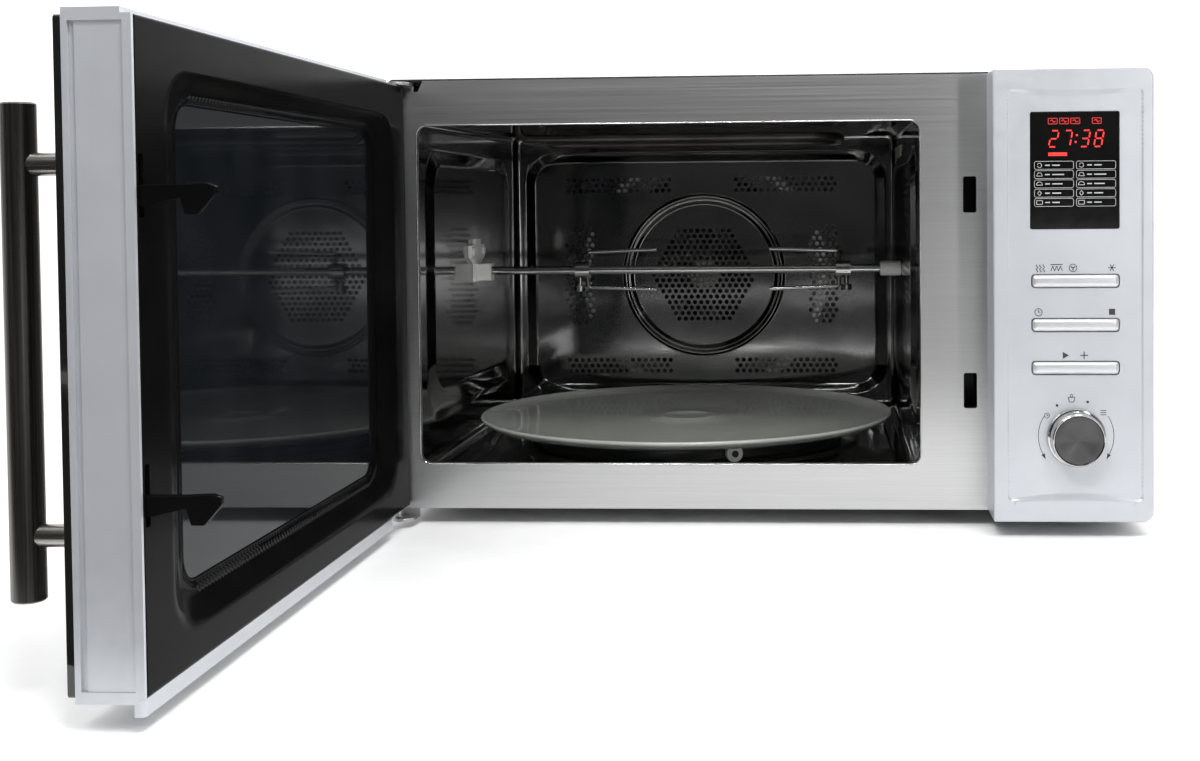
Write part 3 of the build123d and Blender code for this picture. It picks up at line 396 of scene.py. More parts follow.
def hex_rows(x0, x1, z0, z1, pitch=6.2):
    """Centres of a honeycomb of holes that fills a box."""
    points = []
    rows = int((z1 - z0) / (pitch * 0.866)) + 1
    for row in range(rows):
        z = (z0 + z1) / 2 + (row - (rows - 1) / 2) * pitch * 0.866
        shift = pitch / 2 if row % 2 else 0.0
        count = int((x1 - x0 - shift) / pitch) + 1
        points += [(x0 + shift + col * pitch, z) for col in range(count)]
    return points


def far_from(points, taken, gap):
    """The points that are at least gap away from every taken one."""
    tree = KDTree(len(taken))
    for i, (u, v) in enumerate(taken):
        tree.insert((u, v, 0), i)
    tree.balance()
    return [p for p in points if tree.find((p[0], p[1], 0))[2] > gap]


def triangles_between(edge, holes, bends, step):
    """Triangles over a flat outline with holes. bends are extra points, step is the grid's."""
    rings = [edge] + [points for points, _ in holes]
    taken, ring_of, links = [], [], []
    for i, ring in enumerate(rings):
        first = len(taken)
        taken += ring
        ring_of += [i] * len(ring)
        links += [(first + k, first + (k + 1) % len(ring)) for k in range(len(ring))]
    us, vs = [p[0] for p in edge], [p[1] for p in edge]
    cols, rows = int((max(us) - min(us)) / step), int((max(vs) - min(vs)) / step)
    mesh_grid = [(min(us) + (i + 0.5 * (j % 2)) * step, min(vs) + j * step)
                 for j in range(1, rows + 1) for i in range(1, cols + 1)]
    far_u, far_v = max(us) - 0.3 * step, max(vs) - 0.3 * step
    mesh_grid = [(u, v) for u, v in mesh_grid if u < far_u and v < far_v]

    def clear(points):
        array = np.array(points).reshape(-1, 2)
        keep = np.ones(len(array), bool)
        for _, contains in holes:
            keep &= ~contains(array[:, 0], array[:, 1])
        return [tuple(p) for p in array[keep]]
    loose = far_from(clear(bends), taken, 0.25) if bends else []
    taken += loose
    loose = far_from(clear(mesh_grid), taken, step * 0.3)
    taken += loose
    ring_of += [-1] * (len(taken) - len(ring_of))
    verts, _, tris, origins, _, _ = delaunay_2d_cdt([Vector(p) for p in taken], links, [], 0, 1e-4)
    ids = [ring_of[o[0]] if o else -1 for o in origins]
    kept = [t for t in tris if not (ids[t[0]] > 0 and ids[t[0]] == ids[t[1]] == ids[t[2]])]
    return np.array([tuple(p) for p in verts]), kept, np.array(ids)


def free_edges(faces):
    """Directed edges that only one face has."""
    seen = {(f[k], f[(k + 1) % len(f)]) for f in faces for k in range(len(f))}
    return [(a, b) for a, b in seen if (b, a) not in seen]


def sheet(place, edge, holes=(), bends=(), step=9.0, thick=0.8, flip=False, skirt=None, weld=None):
    """Points, faces and corner normals of a pressed sheet. place puts flat points in space."""
    flat, faces, ids = triangles_between(edge, list(holes), list(bends), step)
    u, v = flat[:, 0], flat[:, 1]
    points = place(u, v)
    e = 0.02
    across = place(u + e, v) - place(u - e, v)
    along = place(u, v + e) - place(u, v - e)
    normals = np.cross(across, along)
    if flip:
        normals = -normals
        faces = [f[::-1] for f in faces]
    normals /= np.linalg.norm(normals, axis=1)[:, None]
    if skirt is not None:
        rim = [(a, b) for a, b in free_edges(faces) if ids[a] == 0 and ids[b] == 0]
        low = {a: len(points) + i for i, a in enumerate(sorted({a for pair in rim for a in pair}))}
        order = sorted(low, key=low.get)
        points = np.vstack([points, points[order] + np.array(skirt)])
        normals = np.vstack([normals, normals[order]])
        faces = faces + [[b, a, low[a], low[b]] for a, b in rim]
    if weld is not None:
        same = weld(flat)
        faces = [[same.get(i, i) for i in f] for f in faces]
        faces = [f for f in faces if len(set(f)) == 3]      # the weld closes up a few of them
    count = len(points)
    back = points - normals * thick
    walls = [[b, a, a + count, b + count] for a, b in free_edges(faces)]
    all_points = np.vstack([points, back])
    corners = [normals[i] for f in faces for i in f]
    reverse = [[i + count for i in f[::-1]] for f in faces]
    corners += [-normals[i - count] for f in reverse for i in f]
    gather = {}
    wall_normals = []
    for w in walls:
        p = all_points[w]
        n = np.cross(p[1] - p[0], p[2] - p[1])
        n = n / max(np.linalg.norm(n), 1e-9)
        wall_normals.append(n)
        for i in w:
            gather[i] = gather.get(i, 0) + n
    for w, n in zip(walls, wall_normals):
        for i in w:
            g = gather[i] / max(np.linalg.norm(gather[i]), 1e-9)
            corners.append(g if g @ n > 0.8 else n)
    used = sorted({i for f in faces + reverse + walls for i in f})
    new = {old: i for i, old in enumerate(used)}
    whole = [[new[i] for i in f] for f in faces + reverse + walls]
    return all_points[used], whole, corners


def hole(x, y, r, count=10):
    return circle(x, y, r, count), lambda u, v: np.hypot(u - x, v - y) < r


def opening(rect, r, step=5.0):
    return rounded_rect(rect, r, step), lambda u, v: outside(u, v, rect, r) < 0


def lathe(profile, centre, axis, count=96):
    """A profile of (radius, height) points turned about an axis through centre: y or z."""
    points, faces = [], []
    for k in range(count):
        a = 2 * math.pi * k / count
        c, s = math.cos(a), math.sin(a)
        for r, h in profile:
            local = (r * c, r * s, h) if axis == "z" else (r * c, -h, r * s)
            points.append([local[0] + centre[0], local[1] + centre[1], local[2] + centre[2]])
    n = len(profile)
    for k in range(count):
        for i in range(n - 1):
            a, b = k * n + i, ((k + 1) % count) * n + i
            faces.append([a, b, b + 1, a + 1])
    return points, faces


def clean(piece, sharp=None, merge=True, cap=False):
    """Joins points that meet, closes open ends, turns faces out and smooths up to sharp degrees."""
    bm = bmesh.new()
    bm.from_mesh(piece.data)
    if merge:
        bmesh.ops.remove_doubles(bm, verts=bm.verts, dist=1e-6)
    if cap:
        bmesh.ops.holes_fill(bm, edges=bm.edges, sides=0)
    bmesh.ops.recalc_face_normals(bm, faces=bm.faces)
    bm.to_mesh(piece.data)
    bm.free()
    if sharp is not None:
        piece.data.polygons.foreach_set("use_smooth", [True] * len(piece.data.polygons))
        piece.data.set_sharp_from_angle(angle=math.radians(sharp))
    return piece


def finish_lathe(name, profile, centre, axis, body, slot, look, replaced=(), count=96, sharp=30):
    points, faces = lathe(profile, centre, axis, count)
    return clean(add_piece(name, points, faces, body, slot, look, replaced), sharp)


SOFT_ANGLE = 30                                 # edges sharper than this many degrees are rounded


def softened(node, width, slot=None):
    """A copy of a CAD node with rounded edges, which stands for it."""
    source = NODES[node]
    bm = bmesh.new()
    bm.from_mesh(source.data)
    bmesh.ops.remove_doubles(bm, verts=bm.verts, dist=2e-6)
    bmesh.ops.dissolve_limit(bm, angle_limit=math.radians(1.0), verts=bm.verts, edges=bm.edges)
    mesh = bpy.data.meshes.new(node + "_soft")
    bm.to_mesh(mesh)
    bm.free()
    mesh.polygons.foreach_set("use_smooth", [True] * len(mesh.polygons))
    piece = linked(node + "_soft", mesh)
    mesh.materials.append(source.data.materials[0])
    bevel = piece.modifiers.new("edges", "BEVEL")
    bevel.width = width * MM
    bevel.segments = 2
    bevel.limit_method = "ANGLE"
    bevel.angle_limit = math.radians(SOFT_ANGLE)
    even = piece.modifiers.new("normals", "WEIGHTED_NORMAL")
    even.mode, even.weight, even.keep_sharp = "FACE_AREA", 100, True
    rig.ride(piece, source["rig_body"])
    slots = {p["node"]: p["material_slot"] for p in frame["record"]["subparts"]}
    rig.slot(piece, slot or slots[node])
    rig.replaces(piece, node)


# ---------------------------------------------------------------- cavity
SHEET = 0.8
cx0, cx1, cy0, cy1, cz0, cz1 = box_mm("cavity_shell")
CX0, CX1, CY0, CY1 = cx0 + SHEET, cx1 - SHEET, cy0 + SHEET, cy1 - SHEET
CZ0, CZ1 = cz0 + SHEET, cz1 - SHEET
CORNER_R, BACK_R = 8.0, 5.0                     # between walls, and round the back wall
PRESS = 4.0
TT_X, TT_Y = [(a + b) / 2 for a, b in (box_mm("glass_plate")[:2], box_mm("glass_plate")[2:4])]
SPIT_Z = (box_mm("spit_rod")[4] + box_mm("spit_rod")[5]) / 2
FAN_X, FAN_Z = -71.0, 162.0

HIGH, WIDE, BEND = CZ1 - CZ0 - 2 * CORNER_R, CX1 - CX0 - 2 * CORNER_R, math.pi / 2 * CORNER_R
STARTS = np.cumsum([0, HIGH, BEND, WIDE, BEND, HIGH, BEND, WIDE, BEND])
LEFT_S = lambda z: CZ1 - CORNER_R - z
FLOOR_S = lambda x: STARTS[2] + x - CX0 - CORNER_R
RIGHT_S = lambda z: STARTS[4] + z - CZ0 - CORNER_R
CEIL_S = lambda x: STARTS[6] + CX1 - CORNER_R - x

# Presses in the walls: which wall, outer outline, its corner, inner outline, its corner, height.
# Outlines are in distance round the cavity and depth.
WALL_PRESSES = [
    ((LEFT_S(276), LEFT_S(64), -192, 110), 34, (LEFT_S(261), LEFT_S(90), -177, 86), 22, PRESS),
    ((RIGHT_S(64), RIGHT_S(276), -192, 110), 34, (RIGHT_S(90), RIGHT_S(261), -177, 86), 22, PRESS),
    ((FLOOR_S(-240), FLOOR_S(100), -216, 132), 40, (FLOOR_S(-226), FLOOR_S(86), -202, 118), 30, -2.5),
    ((CEIL_S(98), CEIL_S(-238), -214, 128), 36, (CEIL_S(82), CEIL_S(-222), -198, 112), 24, PRESS),
]
TRACK = (122.0, 127.0, 142.0, 147.0)            # the rollers' track on the floor, as radii


def round_the_cavity(s):
    """Point and inward direction in X and Z at a distance round the cavity's section."""
    x, z, nx, nz = (np.zeros_like(s) for _ in range(4))
    lines = ((0, CX0, CZ1 - CORNER_R, 0, -1, 1, 0), (2, CX0 + CORNER_R, CZ0, 1, 0, 0, 1),
             (4, CX1, CZ0 + CORNER_R, 0, 1, -1, 0), (6, CX1 - CORNER_R, CZ1, -1, 0, 0, -1))
    for i, x0, z0, dx, dz, ax, az in lines:
        here = (s >= STARTS[i] - (1 if i == 0 else 0)) & (s <= STARTS[i + 1])
        t = s - STARTS[i]
        x, z = np.where(here, x0 + dx * t, x), np.where(here, z0 + dz * t, z)
        nx, nz = np.where(here, ax, nx), np.where(here, az, nz)
    arcs = ((1, CX0 + CORNER_R, CZ0 + CORNER_R, 180), (3, CX1 - CORNER_R, CZ0 + CORNER_R, 270),
            (5, CX1 - CORNER_R, CZ1 - CORNER_R, 0), (7, CX0 + CORNER_R, CZ1 - CORNER_R, 90))
    for i, x0, z0, start in arcs:
        last = 1 if i == 7 else 0
        here = (s > STARTS[i]) & (s < STARTS[i + 1] + last)
        a = math.radians(start) + (s - STARTS[i]) / CORNER_R
        x = np.where(here, x0 + CORNER_R * np.cos(a), x)
        z = np.where(here, z0 + CORNER_R * np.sin(a), z)
        nx, nz = np.where(here, -np.cos(a), nx), np.where(here, -np.sin(a), nz)
    return x, z, nx, nz


def wall_place(s, y):
    x, z, nx, nz = round_the_cavity(s)
    rise = np.zeros_like(s)
    for outer, r_outer, inner, r_inner, height in WALL_PRESSES:
        rise += height * ramp(press_share(s, y, outer, r_outer, inner, r_inner))
    away = np.hypot(x - TT_X, y - TT_Y)
    r0, r1, r2, r3 = TRACK
    track = np.minimum(ramp((away - r0) / (r1 - r0)), ramp((r3 - away) / (r3 - r2)))
    floor = (s > STARTS[2]) & (s < STARTS[3])
    rise += np.where(floor, 2.5 * track, 0)
    return np.stack([x + nx * rise, y, z + nz * rise], axis=1)


def build_walls():
    y_end = CY1 - BACK_R
    total = STARTS[8]
    marks = np.linspace(0, total, 141)
    depth = np.linspace(CY0, y_end, 42)
    edge = [(s, CY0) for s in marks] + [(total, y) for y in depth[1:]]
    edge += [(s, y_end) for s in marks[::-1][1:]] + [(0.0, y) for y in depth[::-1][1:-1]]
    bends = []
    for outer, r_outer, inner, r_inner, _ in WALL_PRESSES:
        bends += press_lines(outer, r_outer, inner, r_inner)
    for r in np.linspace(TRACK[0], TRACK[3], 9):
        bends += circle(FLOOR_S(TT_X), TT_Y, r, 150)
    for i in (1, 3, 5, 7):
        for k in range(6):
            s = STARTS[i] + BEND * k / 5
            bends += [(s, y) for y in np.arange(CY0 + 4, y_end, 7.0)]
    vents = [hole(RIGHT_S(z), y, 2.1, 8) for y, z in hex_rows(-168, -52, 150, 250, 7.0)]
    spots = vents + [hole(FLOOR_S(TT_X), TT_Y, 8.0, 24), hole(RIGHT_S(SPIT_Z), TT_Y, 7.2, 24)]
    spots += [hole(CEIL_S(-200.0), y, 4.2, 16) for y in (-110.0, 20.0)]

    def seam(flat):
        first = [(y, i) for i, (s, y) in enumerate(flat) if abs(s) < 1e-3]
        last = [(y, i) for i, (s, y) in enumerate(flat) if abs(s - total) < 1e-3]
        return {i: min(first, key=lambda pair: abs(pair[0] - y))[1] for y, i in last}
    points, faces, corners = sheet(wall_place, edge, spots, bends, step=10.0, thick=SHEET, weld=seam)
    add_piece("cavity_walls", points, faces, "cabinet", "cavity_steel", "cavity_steel",
              ("cavity_shell",), corners)


BACK_OUTER, BACK_INNER = (-248.0, 107.7, 43.1, 283.2), (-234.0, 94.5, 57.3, 270.3)
RING_R, DISH_R = 76.3, 68.0


def back_place(x, z):
    wall = (CX0, CX1, CZ0, CZ1)
    inside = -outside(x, z, wall, CORNER_R)
    e = 0.01
    gx = (outside(x + e, z, wall, CORNER_R) - outside(x - e, z, wall, CORNER_R)) / (2 * e)
    gz = (outside(x, z + e, wall, CORNER_R) - outside(x, z - e, wall, CORNER_R)) / (2 * e)
    turn = np.clip(1 - inside / BACK_R, 0, 1) * math.pi / 2
    inset = BACK_R * (1 - np.sin(turn))
    shift = np.where(inside < BACK_R, inset - inside, 0)
    y = CY1 - np.where(inside < BACK_R, BACK_R * (1 - np.cos(turn)), 0)
    y = y - PRESS * ramp(press_share(x, z, BACK_OUTER, 32, BACK_INNER, 18))
    away = np.hypot(x - FAN_X, z - FAN_Z)
    bead = np.clip(1 - np.abs(away - RING_R) / 3.2, 0, 1)
    y = y - 1.8 * bead * bead * (3 - 2 * bead)
    y = y + 3.0 * ramp((RING_R - 3.5 - away) / (RING_R - 3.5 - DISH_R))
    return np.stack([x - gx * shift, y, z - gz * shift], axis=1)


def back_holes():
    """Centres: a hexagon behind the fan, four strips and two tall clusters."""
    centres = [(x, z) for x, z in hex_rows(FAN_X - 49.6, FAN_X + 49.6, FAN_Z - 43, FAN_Z + 43)
               if abs(z - FAN_Z) * 0.577 + abs(x - FAN_X) < 52]
    for left, right in ((-203.5, -103.5), (-39, 58)):
        for low, high in ((243, 256.5), (67, 80)):
            centres += hex_rows(left, right, low, high)
    for left, right in ((-205, -179), (33, 59)):
        centres += [(x, z) for x, z in hex_rows(left, right, 116, 208)
                    if abs(x - (left + right) / 2) < 8 + (47 - abs(z - FAN_Z)) * 0.58]
    return centres


def build_back():
    edge = rounded_rect((CX0, CX1, CZ0, CZ1), CORNER_R, 7.0)
    bends = press_lines(BACK_OUTER, 32, BACK_INNER, 18)
    for k in range(1, 6):
        d = BACK_R * k / 5
        bends += rounded_rect((CX0 + d, CX1 - d, CZ0 + d, CZ1 - d), max(CORNER_R - d, 0.5), 3.0)
    for r in (DISH_R, 69.2, 70.6, 71.8, 72.8, 73.7, 74.6, 75.4, RING_R, 77.2, 78.0, 78.9, 79.7):
        bends += circle(FAN_X, FAN_Z, r, 160)
    holes = [hole(x, z, 2.15, 10) for x, z in back_holes()]
    points, faces, corners = sheet(back_place, edge, holes, bends, step=9.0, thick=SHEET)
    add_piece("cavity_back_wall", points, faces, "cabinet", "cavity_steel", "cavity_steel",
              ("cavity_back",), corners)


# ---------------------------------------------------------------- door
HINGE_X, HINGE_Y = -262.0, -249.0


def opened(points):
    """From the shut door to the open one, a quarter turn about the hinge."""
    x, y, z = points[:, 0], points[:, 1], points[:, 2]
    return np.stack([HINGE_X + (y - HINGE_Y), HINGE_Y - (x - HINGE_X), z], axis=1)


DOOR_FACE = -241.0                              # inner face when shut
DOOR_EDGE = (-262.0, 153.85, 15.6, 317.4)
RECESS, WINDOW = (-237.0, 126.5, 30.0, 297.0), (-206.0, 93.0, 50.0, 282.5)
DISH = 8.0
HOOK_X, HOOKS_Z = 149.3, (91.8, 229.3)


def cover_place(x, z):
    share = press_share(x, z, RECESS, 26, WINDOW, 14)
    y = DOOR_FACE - DISH * ramp(share / 0.8, 0.3)
    ledge = np.clip((share - 0.8) / 0.2, 0, 1)
    y = y - 1.4 * ledge + 0.45 * np.sin(ledge * 3 * 2 * math.pi) * (ledge < 1)
    rim = np.clip(1 - (-outside(x, z, DOOR_EDGE, 2.5)) / 1.5, 0, 1)
    y = y - 1.5 * (1 - np.sqrt(1 - 0.98 * rim * rim))
    return opened(np.stack([x, y, z], axis=1))


def build_door_cover():
    edge = rounded_rect(DOOR_EDGE, 2.5, 6.0)
    shares = (0, 0.06, 0.12, 0.2, 0.3, 0.5, 0.62, 0.7, 0.8, 0.83, 0.86, 0.9, 0.93, 0.96)
    bends = press_lines(RECESS, 26, WINDOW, 14, shares)
    for d in (0.3, 0.7, 1.1, 1.5):
        x0, x1, z0, z1 = DOOR_EDGE
        bends += rounded_rect((x0 + d, x1 - d, z0 + d, z1 - d), 2.5, 2.0)
    holes = [opening(WINDOW, 14, 4.0)]
    holes += [opening((HOOK_X - 2.4, HOOK_X + 2.4, z - 1.0, z + 27.0), 1.0, 3.0) for z in HOOKS_Z]
    points, faces, corners = sheet(cover_place, edge, holes, bends, step=10.0, thick=1.6, flip=True)
    add_piece("door_cover", points, faces, "door", "black_gloss", "black_gloss",
              ("door_inner_panel",), corners)


# ---------------------------------------------------------------- control panel
px0, px1, py0, py1, pz0, pz1 = box_mm("control_panel")
PANEL = (px0, px1, pz0, pz1)
FIELD = (170.6, 263.1, 25.3, 308.1)
DISPLAY = (186.6, 247.1, 212.2, 292.5)
BARS_Z = (176.9, 146.8, 117.4)
BAR_X0, BAR_X1, BAR_H, BAR_PLAY = 188.1, 246.4, 8.2, 0.8
KNOB_X, KNOB_Z = 217.5, 69.5
FIELD_DEPTH, EDGE_R, LENS = 1.0, 1.5, 5.6
PRINT_THICK = 0.12
PANEL_R, PANEL_LEFT_R = 8.0, 1.6


def panel_place(x, z):
    corner = np.where(x > (px0 + px1) / 2, PANEL_R, PANEL_LEFT_R)
    inside = -outside(x, z, PANEL, corner)
    e = 0.01
    gx = (outside(x + e, z, PANEL, corner) - outside(x - e, z, PANEL, corner)) / (2 * e)
    gz = (outside(x, z + e, PANEL, corner) - outside(x, z - e, PANEL, corner)) / (2 * e)
    turn = np.clip(1 - inside / EDGE_R, 0, 1) * math.pi / 2
    shift = np.where(inside < EDGE_R, EDGE_R * (1 - np.sin(turn)) - inside, 0)
    y = py0 + np.where(inside < EDGE_R, EDGE_R * (1 - np.cos(turn)), 0)
    fx0, fx1, fz0, fz1 = FIELD
    across = (x - (fx0 + fx1) / 2) / ((fx1 - fx0) / 2)
    lens = LENS * np.clip(1 - across * across, 0, 1) + 1.0
    sides = ramp(-outside(x, z, FIELD, 4.0) / 1.6)
    ends = np.minimum(ramp((fz1 - z) / lens), ramp((z - fz0) / lens))
    y = y + FIELD_DEPTH * np.minimum(sides, ends)
    return np.stack([x - gx * shift, y, z - gz * shift], axis=1)


def build_panel():
    edge = rounded_rect(PANEL, PANEL_R, 6.0, PANEL_LEFT_R)
    bends = []
    for k in range(1, 6):
        d = EDGE_R * k / 5
        bends += rounded_rect((px0 + d, px1 - d, pz0 + d, pz1 - d), PANEL_R - d, 2.0,
                              PANEL_LEFT_R - d + 0.05)
    fx0, fx1, fz0, fz1 = FIELD
    for d in (0, 0.35, 0.8, 1.25, 1.6):
        bends += rounded_rect((fx0 + d, fx1 - d, fz0 + d, fz1 - d), 4.0, 3.0)
    middle, half = (fx0 + fx1) / 2, (fx1 - fx0) / 2
    for share in (0.15, 0.3, 0.5, 0.7, 0.85, 1.0):
        for t in np.linspace(-0.94, 0.94, 40):
            reach = share * (LENS * (1 - t * t) + 1.0)
            bends += [(middle + t * half, fz1 - reach), (middle + t * half, fz0 + reach)]
    holes = [opening(DISPLAY, 1.5, 6.0), hole(KNOB_X, KNOB_Z, 7.0, 24)]
    for z in BARS_Z:
        tall = BAR_H / 2 + BAR_PLAY
        rect = (BAR_X0 - BAR_PLAY, BAR_X1 + BAR_PLAY, z - tall, z + tall)
        holes.append(opening(rect, 2.5, 5.0))
    points, faces, corners = sheet(panel_place, edge, holes, bends, step=9.0, thick=1.6,
                                   skirt=(0, py1 - py0 - EDGE_R - 0.05, 0))
    add_piece("panel_cover", points, faces, "cabinet", "silver_plastic", "silver_plastic",
              ("control_panel",), corners)


def flat_shape(outline, y):
    """A thin printed or lit shape on the panel, from a closed outline in X and Z."""
    front = [(x, y, z) for x, z in outline]
    back = [(x, y + PRINT_THICK, z) for x, z in outline]
    n = len(outline)
    faces = [list(range(n)), list(range(2 * n - 1, n - 1, -1))]
    faces += [[(k + 1) % n, k, k + n, (k + 1) % n + n] for k in range(n)]
    return front + back, faces


def add_shapes(name, shapes, y, look, slot):
    """Many flat outlines as one piece of the cabinet."""
    points, faces = [], []
    for outline in shapes:
        p, f = flat_shape(outline, y)
        faces += [[i + len(points) for i in face] for face in f]
        points += p
    clean(add_piece(name, points, faces, "cabinet", slot, look), merge=False)


def stroke(points, width):
    """A line of that width through points, as quads."""
    quads = []
    for (x0, z0), (x1, z1) in zip(points, points[1:]):
        length = math.hypot(x1 - x0, z1 - z0)
        nx, nz = -(z1 - z0) / length * width / 2, (x1 - x0) / length * width / 2
        quads.append([(x0 + nx, z0 + nz), (x0 - nx, z0 - nz), (x1 - nx, z1 - nz), (x1 + nx, z1 + nz)])
    return quads


def arc_points(x, z, r, a0, a1, count=12):
    return [(x + r * math.cos(math.radians(a0 + (a1 - a0) * k / count)),
             z + r * math.sin(math.radians(a0 + (a1 - a0) * k / count))) for k in range(count + 1)]


SEGMENTS = {"a": ((0.12, 1), (0.88, 1)), "b": ((1, 0.9), (1, 0.56)), "c": ((1, 0.44), (1, 0.1)),
            "d": ((0.12, 0), (0.88, 0)), "e": ((0, 0.44), (0, 0.1)), "f": ((0, 0.9), (0, 0.56)),
            "g": ((0.12, 0.5), (0.88, 0.5))}
DIGITS = {"2": "abged", "3": "abgcd", "7": "abc", "8": "abcdefg"}
READING = "2738"


def digit(char, x, z, width, height, slant=0.18):
    shapes = []
    for name in DIGITS[char]:
        (x0, z0), (x1, z1) = SEGMENTS[name]
        ends = [(x + a * width + b * height * slant, z + b * height) for a, b in ((x0, z0), (x1, z1))]
        shapes += stroke(ends, 0.95)
    return shapes


def build_display():
    glass_y = box_mm("display_window")[2]
    y = glass_y - 0.13
    lit = []
    for char, x in zip(READING, (199.2, 208.4, 220.4, 229.6)):
        lit += digit(char, x, 268.4, 5.0, 11.0)
    lit += [circle(217.4, 271.6, 0.75, 8), circle(218.2, 276.2, 0.75, 8)]
    lit += stroke([(199.0, 263.4), (211.6, 263.4)], 2.3)
    add_shapes("display_digits", lit, y, "red_glow", "display_glass")
    dim = []
    for x in (199.0, 206.6, 214.2, 228.6):
        dim += stroke([(x, 284.0), (x + 6.0, 284.0), (x + 6.0, 287.8), (x, 287.8), (x, 284.0)], 0.5)
        dim += stroke([(x + 1.2, 285.9), (x + 2.6, 286.9), (x + 3.6, 284.9), (x + 4.9, 285.9)], 0.6)
    add_shapes("display_icons", dim, y, "red_dim", "display_glass")
    menu = []
    for col in (189.6, 217.9):
        for row in range(5):
            z0 = 253.2 - 6.33 * row
            box = [col, col + 26.4, z0, z0 + 5.4]
            outline = rounded_rect(box, 1.2, 4.0)
            menu += stroke(outline + outline[:1], 0.3)
            menu += pictogram(row + (5 if col > 200 else 0), col + 3.4, z0 + 2.7)
            menu += stroke([(col + 7.2, z0 + 2.7), (col + 10.4, z0 + 2.7)], 0.8)
            menu += stroke([(col + 12.0, z0 + 2.7), (col + 17.0 + (row * 7 % 4), z0 + 2.7)], 0.8)
    add_shapes("display_menu", menu, y, "print_white", "display_glass")


def pictogram(kind, x, z):
    """Small plain signs for kinds of food."""
    if kind % 5 == 0:
        return stroke(arc_points(x, z, 1.5, 200, 520), 0.4)
    if kind % 5 == 1:
        return stroke([(x - 2, z - 1.0), (x - 1, z + 1.2), (x + 1, z + 1.2), (x + 2, z - 1.0),
                       (x - 2, z - 1.0)], 0.4)
    if kind % 5 == 2:
        plate = stroke([(x - 2.2, z - 0.8), (x + 2.2, z - 0.8)], 0.4)
        return stroke(arc_points(x, z - 0.6, 2.0, 0, 180), 0.4) + plate
    if kind % 5 == 3:
        return stroke([(x, z + 1.7), (x + 1.3, z), (x, z - 1.7), (x - 1.3, z), (x, z + 1.7)], 0.4)
    return stroke([(x - 2, z - 1.3), (x + 2, z - 1.3), (x + 2, z + 1.3), (x - 2, z + 1.3),
                   (x - 2, z - 1.3)], 0.4)


def wave(x, z, width, height, turns):
    """A wavy line."""
    return [(x + width * k / (4 * turns), z + height / 2 * math.sin(math.pi * k / 2))
            for k in range(4 * turns + 1)]


def build_print():
    """Small signs over the keys, and arrows round the knob."""
    y = py0 + FIELD_DEPTH - 0.11
    marks = []
    for k in range(3):                                              # mode: waves, grill, fan, flake
        marks += stroke([(z, x) for x, z in wave(183.0, 191.2 + k * 2.3, 5.2, 1.4, 2)], 0.5)
    marks += stroke([(200.4, 188.2), (208.6, 188.2)], 0.55)
    marks += stroke([(200.6 + 1.3 * k, 187.2 if k % 2 else 183.8) for k in range(7)], 0.5)
    marks += stroke(arc_points(215.6, 185.8, 2.6, 0, 360, 20), 0.5)
    for a in (30, 150, 270):
        c, s = math.cos(math.radians(a)), math.sin(math.radians(a))
        marks += stroke([(215.6, 185.8), (215.6 + 1.9 * c, 185.8 + 1.9 * s)], 0.7)
    for a in (0, 60, 120):
        c, s = 2.6 * math.cos(math.radians(a)), 2.6 * math.sin(math.radians(a))
        marks += stroke([(241.8 - c, 185.8 - s), (241.8 + c, 185.8 + s)], 0.55)
    marks += stroke(arc_points(192.2, 155.6, 2.5, 0, 360, 20), 0.5)   # clock and stop
    marks += stroke([(192.2, 157.4), (192.2, 155.6), (193.6, 155.6)], 0.5)
    marks += [[(239.8, 153.6), (244.0, 153.6), (244.0, 157.8), (239.8, 157.8)]]
    marks += [[(208.6, 123.6), (212.8, 126.0), (208.6, 128.4)]]       # start and more
    marks += stroke([(220.4, 126.0), (225.6, 126.0)], 0.7)
    marks += stroke([(223.0, 123.4), (223.0, 128.6)], 0.7)
    marks += [circle(204.6, 91.6, 0.95, 12), circle(225.4, 94.0, 0.95, 12)]
    # Round the knob: time, weight and menu.
    marks += stroke(arc_points(197.8, 84.6, 1.7, 0, 360, 16), 0.4)
    marks += stroke([(197.8, 85.8), (197.8, 84.6), (198.7, 84.6)], 0.4)
    marks += stroke([(213.0, 94.0), (212.2, 97.2), (216.8, 97.2), (216.0, 94.0), (213.0, 94.0)], 0.45)
    marks += stroke(arc_points(214.5, 98.3, 0.9, 0, 360, 12), 0.4)
    for k in range(3):
        marks += stroke([(234.0, 85.2 + k * 1.5), (238.0, 85.2 + k * 1.5)], 0.45)
    for side in (-1, 1):
        curve = arc_points(KNOB_X, KNOB_Z + 1.0, 25.6, 90 - side * 57, 90 - side * 119, 18)
        marks += stroke(curve, 0.42)
        tip, before = curve[-1], curve[-2]
        length = math.dist(tip, before)
        dx, dz = (tip[0] - before[0]) / length, (tip[1] - before[1]) / length
        marks += [[(tip[0] - dz * 1.3, tip[1] + dx * 1.3), (tip[0] + dx * 4.0, tip[1] + dz * 4.0),
                   (tip[0] + dz * 1.3, tip[1] - dx * 1.3)]]
    add_shapes("panel_print", marks, y, "print_grey", "silver_plastic")


def loft(rings):
    """Faces between closed rings of the same number of points."""
    points = [p for ring in rings for p in ring]
    n = len(rings[0])
    faces = [[i * n + k, i * n + (k + 1) % n, (i + 1) * n + (k + 1) % n, (i + 1) * n + k]
             for i in range(len(rings) - 1) for k in range(n)]
    return points, faces


def smooth_piece(name, rings, body, slot, look, sharp=50, close=False):
    points, faces = loft(rings + rings[:1] if close else rings)
    return clean(add_piece(name, points, faces, body, slot, look), sharp)


def cap_ends(piece):
    """Closes a loft's open ends."""
    clean(piece, 60, merge=False, cap=True)


